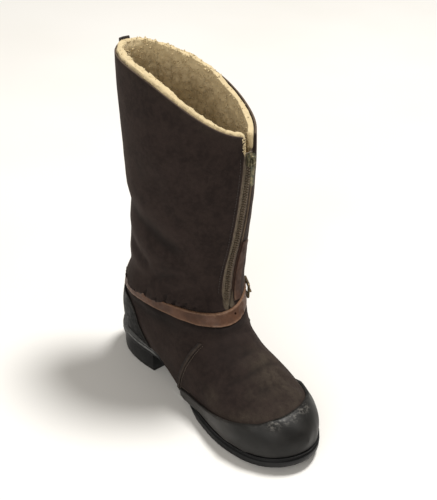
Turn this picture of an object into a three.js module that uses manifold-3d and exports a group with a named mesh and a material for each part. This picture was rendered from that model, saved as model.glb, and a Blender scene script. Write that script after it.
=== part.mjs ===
// Flying boot for the left foot: a suede shearling upper with a tall flared shaft, a front zip, an ankle
// strap with a buckle, a black rubber toe rand, a heel counter and a rubber sole with a separate heel.
// Millimetres. +X points to the toe, +Y to the outer side of the foot, +Z up.
// The origin lies on the floor under the middle of the heel.

import * as THREE from "three";
import { mergeVertices } from "three/addons/utils/BufferGeometryUtils.js";
import Module from "manifold-3d";

const wasm = await Module();
wasm.setup();

// Driving dimensions of the sole
const SOLE_LENGTH = 306;
const HEEL_BACK_X = -40;
const HEEL_HEIGHT = 25;
const HEEL_BREAST_ALONG = 0.27;
const SOLE_THICK_FORE = 12.5;
const SOLE_THICK_HEEL = 9;
const TOE_SPRING = 11;
const SPRING_POWER = 1.9;
const ARCH_PAST_BREAST = 0.02;
const TREAD_FROM = 0.55;
const TREAD_TO = 0.74;
const SOLE_STEPS = 38;
const HEEL_STEPS = 12;
const INSOLE_THICK = 2.5;
const INSOLE_INSET = 12;

// The sole's waist between heel and tread: thin, bevelled under, and overhung by the upper
const WAIST = { from: 0.23, full: 0.36, fade: 0.45, to: 0.6, thick: 5, overhang: 2, bevel: 2.5 };

// Driving dimensions of the upper and of what lies on it
const GAP = 0.3;
const SEAT_GAP = 0.5;
const FEATHER_INSET = 5.5;
const FEATHER_SINK = 1.5;
const FULLNESS = 1.03;
const WALL = 2.4;
const ACROSS = 12;
const LINING_DEPTH = WALL + 1;
const LINING_ROWS = 9;
const LINING_ACROSS = 10;
const LINING_FROM = 0.5;
const FLEECE = 6.5;
const TUFT = { deep: 1.3, alongPlaces: 9.1, acrossShares: 37 };
const LOCK = { count: 14, from: 0.14, to: 0.9, wide: 3, tall: 5, depth: 3.8, below: 0.03 };
const RAND_THICK = 3;
const COUNTER_THICK = 1.5;
const COUNTER_GAP = 0.5;
const SEAM_THICK = 1;
const SEAM_WIDE = 5;

// Driving dimensions of the zip, by heights on the front of the boot
const ZIP_FOOT_Z = 123;
const ZIP_SLIDER_Z = 296;
const SLOT_HALF = 8;
const SLOT_TAPER = 0.7;
const TAPE = { half: 13, thick: 1, depth: WALL + 0.9, rise: -1, relief: 1.5, reliefDepth: 16 };
const CHAIN = { half: 3, thick: 2, rise: 7 };
const FACING = { from: SLOT_HALF + 0.5, wide: 11, thick: 1.2, rise: 4.5, topZ: 198 };
const SLIDER = { topHalf: 5, footHalf: 4, tall: 13, base: -2.4, top: 1.8, shoulder: 3, chamfer: 2 };
const TAPE_TOP_Z = ZIP_SLIDER_Z + SLIDER.tall / 2;
const BAIL = { outer: 4.5, inner: 2.7, wide: 2.4, sunk: 0.1 };
const PULL = { half: 3.2, long: 27, thick: 1.2, pivot: 1.3, waist: 0.8, taper: 4, tip: 2, tipIn: 2.2 };
const PULL_EYE = { half: 1.6, bar: 0.7, foot: 6.2, corner: 0.4 };

// Driving dimensions of the ankle strap. Its middle plane rises towards the toe and the outer side.
const STRAP = { wide: 11.5, thick: 2.5, level: 105, riseToToe: 0.09, riseToOuter: 0.06 };
const BUCKLE = { x: 100, z: 116, long: 22, tall: 19, bar: 3, thick: 2.2, corner: 3, windowCorner: 1 };
const PRONG = { thick: 1.8, corner: 0.8 };
const STRAP_END = { tipX: 44, shoulderX: 50, rootX: 88, tipRise: 3 };
const KEEPER = { fromX: 70, toX: 78, thick: 1.5 };

// Driving dimensions of the pull tab at the back of the collar, a strip folded double
const PULL_TAB = { wide: 13, middleY: -6, thick: 3, down: 24, above: 4, round: 1.2, slopeOver: 0.4 };

// Half-widths of the sole's plan outline, from the back of the heel to the toe
const SOLE_OUTLINE = [
  { along: 0.0, outer: 0, inner: 0 },
  { along: 0.03, outer: 21, inner: -20 },
  { along: 0.1, outer: 34, inner: -33 },
  { along: 0.2, outer: 39, inner: -37 },
  { along: 0.32, outer: 40, inner: -34 },
  { along: 0.45, outer: 44, inner: -35 },
  { along: 0.58, outer: 53, inner: -48 },
  { along: 0.7, outer: 56, inner: -55 },
  { along: 0.8, outer: 53, inner: -54.5 },
  { along: 0.89, outer: 42, inner: -49 },
  { along: 0.96, outer: 24, inner: -35 },
  { along: 1.0, outer: -6, inner: -6 },
];

// Sections of the upper from the toe tip over the instep to the collar. The front point lies on the
// ridge of the foot and the front of the shaft. The back point lies on the feather line under the foot
// while along is above zero, and on the back of the shaft once it is zero. Outer and inner are the
// half-widths, square rounds a section towards a box, pinch narrows the front of a side, drop is how much
// lower the outer side hangs than the inner side, and crown is how far the inner side's middle rises.
const SECTION_COLUMNS = [
  "at", "along", "frontX", "frontY", "frontZ", "backX", "backY", "backZ",
  "outer", "inner", "square", "pinchOuter", "pinchInner", "drop", "crown",
];
const UPPER_SECTIONS = [
  ["toe tip", 1.0, 261.5, -6, 34, -34.5, -6, 32.5, 0, 0, 2.1, 0, 0, 0, 0],
  ["toe front", 0.985, 257, -6, 43, -34.5, -6, 32.5, 0, 0, 2.15, 0, 0, 0, 0],
  ["toe box", 0.93, 243, -6, 52, -34.5, -6, 32.5, 0, 0, 2.2, 0, 0, 0, 0],
  ["toe top", 0.84, 222, -5, 59.5, -34.5, -5, 32.5, 43, 47, 2.2, 0, 0, 0, 0],
  ["vamp", 0.73, 196, -3, 70, -34.5, -3, 32.5, 49, 51, 2.15, 0, 0, 0, 0],
  ["ball", 0.61, 169, -1, 85, -34.5, -1, 32.5, 49, 48, 2.1, 0, 0, 0, 0],
  ["waist", 0.49, 147, 0, 102, -34.5, 0, 32.5, 48, 43, 2.05, 0, 0, 0, 0],
  ["instep", 0.37, 131, 2, 118, -34.5, 0, 32.5, 47, 43, 2, -0.14, 0, 0, 0],
  ["fan front", 0.23, 122.5, 5, 133, -34.5, 0, 32.5, 47, 43, 2, -0.3, 0, 0, 0],
  ["fan back", 0.1, 120.5, 7, 146, -34.5, 0, 32.5, 47, 43, 2, -0.42, 0, 0, 0],
  ["heel seat", 0.0, 120, 8, 156, -34.5, 0, 32.5, 47, 43, 2, -0.5, 0, 0, 0],
  ["heel curve", 0.0, 120.5, 9, 167, -38.5, 0, 58, 47, 43, 2, -0.5, 0, 0, 0],
  ["ankle", 0.0, 122.5, 10, 182, -27, 0, 104, 48, 44, 2, -0.32, 0, 0, 0],
  ["shaft foot", 0.0, 126, 12.5, 206, -20, 0, 148, 50, 46, 2, 0, 0.03, 1, 0],
  ["calf", 0.0, 129, 15, 242, -21, 0, 206, 53, 50, 2, 0.12, 0.04, 2, 3],
  ["calf top", 0.0, 130, 18, 282, -32.5, -4, 290, 55, 52, 1.93, 0.2, -0.04, 3, 10],
  ["collar", 0.0, 127.5, 20.5, 319.5, -40.8, -7, 374, 55.5, 51, 1.85, 0.27, -0.15, 2, 16],
].map((row) => Object.fromEntries(SECTION_COLUMNS.map((column, i) => [column, row[i]])));

const spaced = (from, to, count) =>
  Array.from({ length: count + 1 }, (_, i) => THREE.MathUtils.lerp(from, to, i / count));

// A smooth curve through one column of a table, by the key that rises from row to row
function curveThrough(rows, keyOf, column) {
  const keys = rows.map(keyOf);
  const values = rows.map((row) => row[column]);
  const slope = (i, j) => (values[j] - values[i]) / (keys[j] - keys[i]);
  const last = keys.length - 1;
  const tangent = keys.map((_, i) => slope(Math.max(0, i - 1), Math.min(last, i + 1)));
  return (key) => {
    const held = THREE.MathUtils.clamp(key, keys[0], keys[last]);
    let i = 0;
    while (i < last - 1 && held > keys[i + 1]) i += 1;
    const span = keys[i + 1] - keys[i];
    const t = (held - keys[i]) / span;
    const t2 = t * t;
    const t3 = t2 * t;
    return (
      (2 * t3 - 3 * t2 + 1) * values[i] +
      (t3 - 2 * t2 + t) * span * tangent[i] +
      (3 * t2 - 2 * t3) * values[i + 1] +
      (t3 - t2) * span * tangent[i + 1]
    );
  };
}

// Plan outline of the sole. Turn runs from 0 at the back of the heel to pi at the toe, so that stations
// crowd together where the outline rounds its two ends.
const turnOf = (along) => Math.acos(1 - 2 * along);
const alongOf = (turn) => (1 - Math.cos(turn)) / 2;
const alongAt = (x) => (x - HEEL_BACK_X) / SOLE_LENGTH;
const outlineY = {
  outer: curveThrough(SOLE_OUTLINE, (row) => turnOf(row.along), "outer"),
  inner: curveThrough(SOLE_OUTLINE, (row) => turnOf(row.along), "inner"),
};

function outlinePoint(turn, side, inset) {
  const step = 1e-4;
  const outward = side === "outer" ? 1 : -1;
  const at = (t) => new THREE.Vector2(HEEL_BACK_X + SOLE_LENGTH * alongOf(t), outlineY[side](t));
  const tangent = at(turn + step).sub(at(turn - step)).normalize();
  if (turn < step) tangent.set(0, outward);
  if (turn > Math.PI - step) tangent.set(0, -outward);
  return at(turn).add(new THREE.Vector2(tangent.y, -tangent.x).multiplyScalar(outward * inset));
}

// Height of the sole's underside: level under the heel and the ball, arched between, sprung at the toe
const ARCH_REACH = TREAD_FROM - HEEL_BREAST_ALONG + ARCH_PAST_BREAST;
function undersideZ(along) {
  const arch = THREE.MathUtils.smootherstep(TREAD_FROM - along, 0, ARCH_REACH);
  const spring = Math.max(0, (along - TREAD_TO) / (1 - TREAD_TO)) ** SPRING_POWER;
  return HEEL_HEIGHT * arch + TOE_SPRING * spring;
}

// 1 in the waist of the sole, 0 under the heel and the tread
function waistAt(along) {
  const fromHeel = THREE.MathUtils.smoothstep(along, WAIST.from, WAIST.full);
  return fromHeel * (1 - THREE.MathUtils.smoothstep(along, WAIST.fade, WAIST.to));
}

function soleThickness(along) {
  const toFore = THREE.MathUtils.smoothstep(along, HEEL_BREAST_ALONG, TREAD_FROM);
  const full = THREE.MathUtils.lerp(SOLE_THICK_HEEL, SOLE_THICK_FORE, toFore);
  return THREE.MathUtils.lerp(full, WAIST.thick, waistAt(along));
}

const soleTopZ = (along) => undersideZ(along) + soleThickness(along);
const featherZ = (along) => soleTopZ(along) - FEATHER_SINK;
const featherInset = (along) => THREE.MathUtils.lerp(FEATHER_INSET, -WAIST.overhang, waistAt(along));

// The upper's outer surface. A section is found at a place that counts the rows of the table.
const sectionCurves = Object.fromEntries(
  SECTION_COLUMNS.slice(1).map((column) => {
    const rows = UPPER_SECTIONS.map((row, i) => ({ ...row, place: i, along: turnOf(row.along) }));
    return [column, curveThrough(rows, (row) => row.place, column)];
  }),
);
const COLLAR = UPPER_SECTIONS.length - 1;
const placeOf = (name) => UPPER_SECTIONS.findIndex((row) => row.at === name);
const HEEL_SEAT = placeOf("heel seat");

function sectionAt(place, side) {
  const value = (column) => sectionCurves[column](place);
  const turn = place >= HEEL_SEAT ? 0 : Math.max(0, value("along"));
  const front = new THREE.Vector3(value("frontX"), value("frontY"), value("frontZ"));
  const back = new THREE.Vector3(value("backX"), value("backY"), value("backZ"));
  const sign = side === "outer" ? 1 : -1;
  let featherHalf = 0;
  if (turn > 0) {
    const feather = outlinePoint(turn, side, featherInset(alongOf(turn)));
    featherHalf = Math.max(0, sign * (feather.y - back.y));
    back.set(feather.x, back.y, featherZ(alongAt(feather.x)));
  }
  const wide = Math.max(value(side), FULLNESS * featherHalf, 1e-6);
  const square = value("square");
  const end = Math.PI - Math.asin(Math.min(1, (featherHalf / wide) ** (square / 2)));
  const open = featherHalf > 1e-6;
  const pinch = value(side === "outer" ? "pinchOuter" : "pinchInner");
  const crown = side === "outer" ? 0 : value("crown");
  return { front, back, sign, wide, square, end, pinch, drop: value("drop"), crown, open };
}

// Place where the front of the boot has a given height, and the zip slot's half-width at a place
function placeAtFrontZ(z) {
  let low = 0;
  let high = COLLAR;
  for (let i = 0; i < 40; i += 1) {
    const middle = (low + high) / 2;
    if (sectionCurves.frontZ(middle) < z) low = middle;
    else high = middle;
  }
  return low;
}
const ZIP_FOOT = placeAtFrontZ(ZIP_FOOT_Z);
const slotAt = (place) => SLOT_HALF * THREE.MathUtils.clamp((place - ZIP_FOOT) / SLOT_TAPER, 0, 1);

// A point of the surface: share runs from 0 at the ridge to 1 at the feather line or the back seam
function surfacePoint(place, side, share, slotHalf) {
  const s = sectionAt(place, side);
  const start = slotHalf > 0 ? Math.asin((slotHalf / (s.wide * (1 - s.pinch))) ** (s.square / 2)) : 0;
  const angle = start + (s.end - start) * share;
  const power = 2 / s.square;
  const bent = (v) => Math.sign(v) * Math.abs(v) ** power;
  const down = (1 - bent(Math.cos(angle))) / (1 - bent(Math.cos(s.end)));
  const narrowed = 1 - s.pinch * ((1 + Math.cos(angle)) / 2) ** 2;
  const y = s.sign * s.wide * bent(Math.max(0, Math.sin(angle))) * narrowed;
  const point = s.front.clone().lerp(s.back, down);
  const rise = s.crown * (Math.abs(y) / s.wide) ** 3 - (s.drop * y) / (2 * s.wide);
  return point.add(new THREE.Vector3(0, y, rise));
}

// The same point moved into the boot by a depth along the surface's normal. On the centre line the two
// sides of the boot share their points, so there the surface runs straight across.
function pointAtDepth(place, side, share, slotHalf, depth) {
  const step = 1e-3;
  const at = (p, h) => surfacePoint(p, side, h, slotHalf);
  const straightAcross = new THREE.Vector3(0, side === "outer" ? 1 : -1, 0);
  const onSeam = (share === 0 && slotHalf === 0) || (share === 1 && !sectionAt(place, side).open);
  const along =
    place === 0
      ? straightAcross.clone()
      : at(Math.min(COLLAR, place + step), share).sub(at(place - step, share));
  let around = at(place, Math.min(1, share + step)).sub(at(place, Math.max(0, share - step)));
  if (place > 0 && onSeam) around = straightAcross.multiplyScalar(share === 0 ? 1 : -1);
  const inward = along.cross(around).normalize();
  if (side === "inner") inward.negate();
  return at(place, share).addScaledVector(inward, depth);
}

// Closed solid of a geometry, and of a list of triangles that have three points each
function solidOf(geometry) {
  const bare = new THREE.BufferGeometry();
  bare.setAttribute("position", geometry.getAttribute("position"));
  bare.setIndex(geometry.getIndex());
  const merged = mergeVertices(bare, 1e-3);
  const index = merged.index.array;
  const kept = [];
  for (let i = 0; i < index.length; i += 3) {
    const [a, b, c] = index.subarray(i, i + 3);
    if (a !== b && b !== c && c !== a) kept.push(a, b, c);
  }
  return new wasm.Manifold(
    new wasm.Mesh({
      numProp: 3,
      vertProperties: merged.attributes.position.array,
      triVerts: new Uint32Array(kept),
    }),
  );
}

function solidFrom(triangles) {
  const positions = new Float32Array(triangles.flatMap((t) => t.flatMap((p) => [p.x, p.y, p.z])));
  const geometry = new THREE.BufferGeometry();
  geometry.setAttribute("position", new THREE.BufferAttribute(positions, 3));
  return solidOf(geometry);
}

const quad = (a, b, c, d) => [
  [a, b, c],
  [a, c, d],
];
const turned = (triangles) => triangles.map(([a, b, c]) => [a, c, b]);

// A wall of the boot between two depths, from its first place to its last, parted in front by the zip
// slot or by another slot given. The inner depth is a function of place and share.
function wallSolid(places, across, outerDepth, innerDepth, slot = slotAt) {
  const triangles = [];
  for (const side of ["outer", "inner"]) {
    const grid = (depth) =>
      places.map((place) =>
        spaced(0, 1, across).map((share) =>
          pointAtDepth(place, side, share, slot(place), depth(place, share)),
        ),
      );
    const skin = grid(() => outerDepth);
    const lining = grid(innerDepth);
    const made = [];
    for (let i = 0; i + 1 < places.length; i += 1) {
      for (let k = 0; k < across; k += 1) {
        made.push(...quad(skin[i][k], skin[i][k + 1], skin[i + 1][k + 1], skin[i + 1][k]));
        made.push(...quad(lining[i][k], lining[i + 1][k], lining[i + 1][k + 1], lining[i][k + 1]));
      }
      const edge = (k) => quad(skin[i][k], skin[i + 1][k], lining[i + 1][k], lining[i][k]);
      if (slot(places[i]) > 0 || slot(places[i + 1]) > 0) made.push(...edge(0));
      const open = sectionAt(places[i], side).open || sectionAt(places[i + 1], side).open;
      if (open) made.push(...turned(edge(across)));
    }
    const cap = (i) =>
      Array.from({ length: across }, (_, k) =>
        quad(skin[i][k], lining[i][k], lining[i][k + 1], skin[i][k + 1]),
      ).flat();
    if (places[0] > 0) made.push(...cap(0));
    made.push(...turned(cap(places.length - 1)));
    triangles.push(...(side === "outer" ? made : turned(made)));
  }
  return solidFrom(triangles);
}

// A slab that follows the sole's outline: levels are stacked from the bottom up, each with its own inset
// and its own height along the foot. A slab that stops short of the toe ends in a flat breast.
function slabSolid(levels, fromAlong, toAlong, steps) {
  const from = turnOf(fromAlong);
  const to = turnOf(toAlong);
  const turns = Array.from({ length: steps + 1 }, (_, i) => THREE.MathUtils.lerp(from, to, i / steps));
  const ring = (level, side) =>
    turns.map((turn) => {
      const bevel = (level.bevel ?? 0) * waistAt(alongOf(turn));
      const p = outlinePoint(turn, side, level.inset + bevel);
      return new THREE.Vector3(p.x, p.y, level.z(alongAt(p.x)));
    });
  const rings = levels.map((level) => ({ outer: ring(level, "outer"), inner: ring(level, "inner") }));
  const triangles = [];
  const across = (r, i) => quad(r.outer[i], r.outer[i + 1], r.inner[i + 1], r.inner[i]);
  for (let i = 0; i < steps; i += 1) {
    triangles.push(...across(rings[0], i), ...turned(across(rings[rings.length - 1], i)));
    for (let j = 0; j + 1 < rings.length; j += 1) {
      const side = (name) => {
        const low = rings[j][name];
        const high = rings[j + 1][name];
        return quad(low[i], high[i], high[i + 1], low[i + 1]);
      };
      triangles.push(...side("outer"), ...turned(side("inner")));
    }
  }
  for (let j = 0; j + 1 < rings.length; j += 1) {
    const breast = (i) =>
      quad(rings[j].outer[i], rings[j + 1].outer[i], rings[j + 1].inner[i], rings[j].inner[i]);
    if (toAlong < 1) triangles.push(...breast(steps));
    if (fromAlong > 0) triangles.push(...turned(breast(0)));
  }
  return solidFrom(triangles);
}

function geometryOf(solid) {
  const mesh = solid.getMesh();
  const positions = new Float32Array(mesh.numVert * 3);
  for (let i = 0; i < mesh.numVert; i += 1) {
    positions.set(mesh.vertProperties.subarray(i * mesh.numProp, i * mesh.numProp + 3), i * 3);
  }
  const geometry = new THREE.BufferGeometry();
  geometry.setAttribute("position", new THREE.BufferAttribute(positions, 3));
  geometry.setIndex(new THREE.BufferAttribute(mesh.triVerts, 1));
  geometry.computeVertexNormals();
  return geometry;
}

// A band of the front between signed distances from the centre line, outer side positive
function bandSolid(places, offsets, outerDepth, innerDepth) {
  const point = (place, offset, depth) =>
    pointAtDepth(place, offset < 0 ? "inner" : "outer", 0, Math.abs(offset), depth);
  const grid = (depth) => places.map((place) => offsets.map((offset) => point(place, offset, depth)));
  const skin = grid(outerDepth);
  const back = grid(innerDepth);
  const last = offsets.length - 1;
  const triangles = [];
  for (let i = 0; i + 1 < places.length; i += 1) {
    for (let k = 0; k < last; k += 1) {
      triangles.push(...quad(skin[i][k], skin[i][k + 1], skin[i + 1][k + 1], skin[i + 1][k]));
      triangles.push(...quad(back[i][k], back[i + 1][k], back[i + 1][k + 1], back[i][k + 1]));
    }
    triangles.push(...quad(skin[i][0], skin[i + 1][0], back[i + 1][0], back[i][0]));
    triangles.push(...quad(skin[i][last], back[i][last], back[i + 1][last], skin[i + 1][last]));
  }
  const cap = (i) =>
    Array.from({ length: last }, (_, k) =>
      quad(skin[i][k], back[i][k], back[i][k + 1], skin[i][k + 1]),
    ).flat();
  triangles.push(...cap(0), ...turned(cap(places.length - 1)));
  return solidFrom(triangles);
}

// Right-handed frame on the surface: x across, y towards a hint of upwards, z outwards
function frameOn(place, side, share, depth, upHint) {
  const origin = pointAtDepth(place, side, share, 0, depth);
  const outward = pointAtDepth(place, side, share, 0, depth - 1).sub(origin).normalize();
  const up = upHint.clone().addScaledVector(outward, -upHint.dot(outward)).normalize();
  const across = up.clone().cross(outward);
  return new THREE.Matrix4().makeBasis(across, up, outward).setPosition(origin);
}

// Place and share of the point of the ankle that has a given x and z in the side view
function spotOn(side, x, z) {
  let best = { place: HEEL_SEAT, share: 0.5, miss: Infinity };
  let reach = { place: 4, share: 0.5 };
  for (let round = 0; round < 7; round += 1) {
    const middle = best;
    for (const p of spaced(-1, 1, 8)) {
      for (const h of spaced(-1, 1, 8)) {
        const place = middle.place + p * reach.place;
        const share = THREE.MathUtils.clamp(middle.share + h * reach.share, 0.02, 0.98);
        const point = surfacePoint(place, side, share, 0);
        const miss = Math.hypot(point.x - x, point.z - z);
        if (miss < best.miss) best = { place, share, miss };
      }
    }
    reach = { place: reach.place / 3, share: reach.share / 3 };
  }
  return best;
}

// Prism from a side-view outline of [x, z] points, between two values of y
function sidePrism(outline, fromY, toY) {
  const shape = new THREE.Shape(outline.map(([x, z]) => new THREE.Vector2(x, z)));
  const geometry = new THREE.ExtrudeGeometry(shape, { depth: toY - fromY, bevelEnabled: false });
  return solidOf(geometry.rotateX(Math.PI / 2).translate(0, toY, 0));
}

// Plate from a flat shape, its thickness counted from a base height
function plate(shape, base, thick) {
  const options = { depth: thick, bevelEnabled: false, curveSegments: 3 };
  return new THREE.ExtrudeGeometry(shape, options).translate(0, 0, base);
}

function roundedRectangle(halfWide, halfTall, radius, path = new THREE.Shape()) {
  path.moveTo(-halfWide + radius, -halfTall);
  path.lineTo(halfWide - radius, -halfTall);
  path.absarc(halfWide - radius, -halfTall + radius, radius, -Math.PI / 2, 0);
  path.absarc(halfWide - radius, halfTall - radius, radius, 0, Math.PI / 2);
  path.absarc(-halfWide + radius, halfTall - radius, radius, Math.PI / 2, Math.PI);
  path.absarc(-halfWide + radius, -halfTall + radius, radius, Math.PI, 1.5 * Math.PI);
  path.closePath();
  return path;
}

const WIDE_Y = 120;
const boot = new THREE.Group();

function add(name, solid, colour, roughness, metalness = 0) {
  const material = new THREE.MeshStandardMaterial({ color: colour, roughness, metalness });
  const mesh = new THREE.Mesh(geometryOf(solid), material);
  mesh.name = name;
  boot.add(mesh);
}

const SUEDE = 0x33261f;
const RUBBER = 0x2b2b2a;
const STRAP_LEATHER = 0x6b4430;
const FACING_LEATHER = 0x5a3826;
const FLEECE_CREAM = 0xc8b48a;
const BRASS = 0x8a7348;
const COUNTER_LEATHER = 0x1d1c1b;
const TAB_LEATHER = 0x3a2a20;
const TAPE_CLOTH = 0x5c4a3a;
const INSOLE_FELT = 0x8a7550;

// Sole: outsole with a groove round its side, heel and insole
const underside = (rise, share) => (along) => undersideZ(along) + rise + share * soleThickness(along);
const OUTSOLE_LEVELS = [
  { inset: 1.5, bevel: WAIST.bevel, z: underside(0, 0) },
  { inset: 0, bevel: WAIST.bevel, z: underside(1.5, 0) },
  { inset: 0, z: underside(0, 0.6) },
  { inset: 1.8, z: underside(0, 0.7) },
  { inset: 1.8, z: underside(0, 0.8) },
  { inset: 0.5, z: underside(0, 1) },
];
const HEEL_LEVELS = [
  { inset: 5, z: () => 0 },
  { inset: 3.5, z: () => 1.5 },
  { inset: 2, z: underside(-GAP, 0) },
];
const INSOLE_LEVELS = [
  { inset: INSOLE_INSET, z: underside(SEAT_GAP, 1) },
  { inset: INSOLE_INSET, z: underside(SEAT_GAP + INSOLE_THICK, 1) },
];
const SEAT_LEVELS = [
  { inset: -12, z: () => -20 },
  { inset: -12, z: underside(SEAT_GAP, 1) },
];
add("outsole", slabSolid(OUTSOLE_LEVELS, 0, 1, SOLE_STEPS), RUBBER, 0.5);
add("heel", slabSolid(HEEL_LEVELS, 0, HEEL_BREAST_ALONG, HEEL_STEPS), RUBBER, 0.5);
add("insole", slabSolid(INSOLE_LEVELS, 0, 1, SOLE_STEPS), INSOLE_FELT, 0.95);

// Upper: everything below the sole's top is cut away, so the wall stands on the sole
const seat = slabSolid(SEAT_LEVELS, 0, 1, SOLE_STEPS);
const upperPlaces = [
  ...spaced(0, 3, 7),
  ...spaced(3, HEEL_SEAT - 1, 8).slice(1),
  ...spaced(HEEL_SEAT - 1, HEEL_SEAT, 6).slice(1),
  ...spaced(HEEL_SEAT, COLLAR, 11).slice(1),
];
const layer = (outerDepth, innerDepth, slot = slotAt) =>
  wallSolid(upperPlaces, ACROSS, outerDepth, () => innerDepth, slot).subtract(seat);
add("upper", layer(0, WALL), SUEDE, 0.95);

// Overlays: layers over the upper, cut by side-view outlines
const RAND_OUTLINE = [
  [101, -5], [103, 19.5], [119, 23], [143, 26], [167, 32], [183, 37.5], [200, 43.5], [225, 50.5], [238, 57],
  [243, 70], [300, 70], [300, -5],
];
const COUNTER_OUTLINE = [
  [-80, 35.8], [43, 35.8], [26, 60], [14, 78], [0, 86], [-80, 90],
];
const SEAM_LINE = [[123, 90], [116, 76], [108, 56], [102, 38], [97, 20], [93, 6]];
const seamOutline = [
  ...SEAM_LINE.map(([x, z]) => [x + SEAM_WIDE / 2, z]),
  ...SEAM_LINE.toReversed().map(([x, z]) => [x - SEAM_WIDE / 2, z]),
];
const randLayer = layer(-GAP - RAND_THICK, -GAP);
const counterLayer = layer(-COUNTER_GAP - COUNTER_THICK, -COUNTER_GAP);
const seamLayer = layer(-GAP - SEAM_THICK, -GAP);
add("toe_rand", randLayer.intersect(sidePrism(RAND_OUTLINE, -WIDE_Y, WIDE_Y)), RUBBER, 0.45);
const counter = counterLayer.intersect(sidePrism(COUNTER_OUTLINE, -WIDE_Y, WIDE_Y));
add("heel_counter", counter, COUNTER_LEATHER, 0.4);
add("outer_seam", seamLayer.intersect(sidePrism(seamOutline, 0, WIDE_Y)), SUEDE, 0.95);
add("inner_seam", seamLayer.intersect(sidePrism(seamOutline, -WIDE_Y, 0)), SUEDE, 0.95);

// Ankle strap, with its free end, keeper and buckle on the outer side
const strapTilt = new THREE.Matrix4()
  .makeRotationFromEuler(new THREE.Euler(Math.atan(STRAP.riseToOuter), -Math.atan(STRAP.riseToToe), 0))
  .setPosition(0, 0, STRAP.level);
const strapBox = (wide) => new THREE.BoxGeometry(4 * WIDE_Y, 4 * WIDE_Y, wide);
const strapSlab = (wide) => solidOf(strapBox(wide).applyMatrix4(strapTilt));
const strapNormal = new THREE.Vector3(0, 0, 1).transformDirection(strapTilt);
const strapTop = GAP + STRAP.thick;
const endTop = strapTop + GAP + STRAP.thick;
const strapSide = (outline) => sidePrism(outline, 0, WIDE_Y);
const overStrap = 2 * STRAP.level;
const reachOf = (fromX, toX) =>
  strapSide([[fromX, 0], [toX, 0], [toX, overStrap], [fromX, overStrap]]);
const tipZ = STRAP.level + STRAP.riseToToe * STRAP_END.tipX + STRAP_END.tipRise;
const endOutline = [
  [STRAP_END.tipX, tipZ],
  [STRAP_END.shoulderX, tipZ - STRAP.wide],
  [STRAP_END.rootX, tipZ - 2 * STRAP.wide],
  [STRAP_END.rootX, tipZ + 4 * STRAP.wide],
  [STRAP_END.shoulderX, tipZ + STRAP.wide],
];
const zipFootY = surfacePoint(ZIP_FOOT, "outer", 0, 0).y;
const zipFootBox = new THREE.BoxGeometry(4 * WIDE_Y, 4 * SLOT_HALF, 2 * overStrap);
const unparted = () => 0;
const acrossZip = layer(-strapTop, 0, unparted)
  .subtract(layer(-GAP, WALL))
  .intersect(solidOf(zipFootBox.translate(2 * WIDE_Y, zipFootY, 0)));
const strapBand = layer(-strapTop, -GAP).add(acrossZip).intersect(strapSlab(STRAP.wide));
const endBand = layer(-endTop, -strapTop - GAP).intersect(strapSlab(STRAP.wide));
const keeperHollow = layer(-endTop - GAP, WALL).intersect(strapSlab(STRAP.wide + 2 * GAP));
const keeperBlock = layer(-endTop - GAP - KEEPER.thick, -GAP)
  .intersect(strapSlab(STRAP.wide + 2 * GAP + 2 * KEEPER.thick))
  .intersect(reachOf(KEEPER.fromX, KEEPER.toX));
add("ankle_strap", strapBand, STRAP_LEATHER, 0.6);
add("strap_end", endBand.intersect(strapSide(endOutline)), STRAP_LEATHER, 0.6);
add("strap_keeper", keeperBlock.subtract(keeperHollow), STRAP_LEATHER, 0.6);

const buckleSpot = spotOn("outer", BUCKLE.x, BUCKLE.z);
const buckleDepth = -strapTop - 2 * GAP;
const buckleFrame = frameOn(buckleSpot.place, "outer", buckleSpot.share, buckleDepth, strapNormal);
const buckleHalf = { long: BUCKLE.long / 2, tall: BUCKLE.tall / 2 };
const frameShape = roundedRectangle(buckleHalf.long, buckleHalf.tall, BUCKLE.corner);
const windowHalf = { long: buckleHalf.long - BUCKLE.bar, tall: buckleHalf.tall - BUCKLE.bar };
frameShape.holes.push(roundedRectangle(windowHalf.long, windowHalf.tall, BUCKLE.windowCorner));
const prongShape = roundedRectangle(buckleHalf.long, PRONG.thick / 2, PRONG.corner);
const onBuckle = (geometry) => solidOf(geometry.applyMatrix4(buckleFrame));
add("buckle_frame", onBuckle(plate(frameShape, 0, BUCKLE.thick)), BRASS, 0.4, 0.9);
add("buckle_prong", onBuckle(plate(prongShape, BUCKLE.thick + GAP, PRONG.thick)), BRASS, 0.4, 0.9);

// Zip: tape behind the slot, chain on it, slider with its bail, hinged pull tab and leather facing
const zipPlaces = (fromZ, toZ, count) => spaced(placeAtFrontZ(fromZ), placeAtFrontZ(toZ), count);
const tape = bandSolid(
  zipPlaces(ZIP_FOOT_Z + TAPE.rise, TAPE_TOP_Z, 14),
  spaced(-TAPE.half, TAPE.half, 6),
  TAPE.depth,
  TAPE.depth + TAPE.thick,
);
const chain = bandSolid(
  zipPlaces(ZIP_FOOT_Z + CHAIN.rise, ZIP_SLIDER_Z - SLIDER.tall / 2 - 1, 16),
  spaced(-CHAIN.half, CHAIN.half, 2),
  TAPE.depth - GAP - CHAIN.thick,
  TAPE.depth - GAP,
);
const facing = bandSolid(
  zipPlaces(ZIP_FOOT_Z + FACING.rise, FACING.topZ, 8),
  spaced(FACING.from, FACING.from + FACING.wide, 4),
  -GAP - FACING.thick,
  -GAP,
);
add("zip_tape", tape, TAPE_CLOTH, 0.9);
add("zip_chain", chain, BRASS, 0.5, 0.8);
add("zip_facing", facing, FACING_LEATHER, 0.65);

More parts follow.
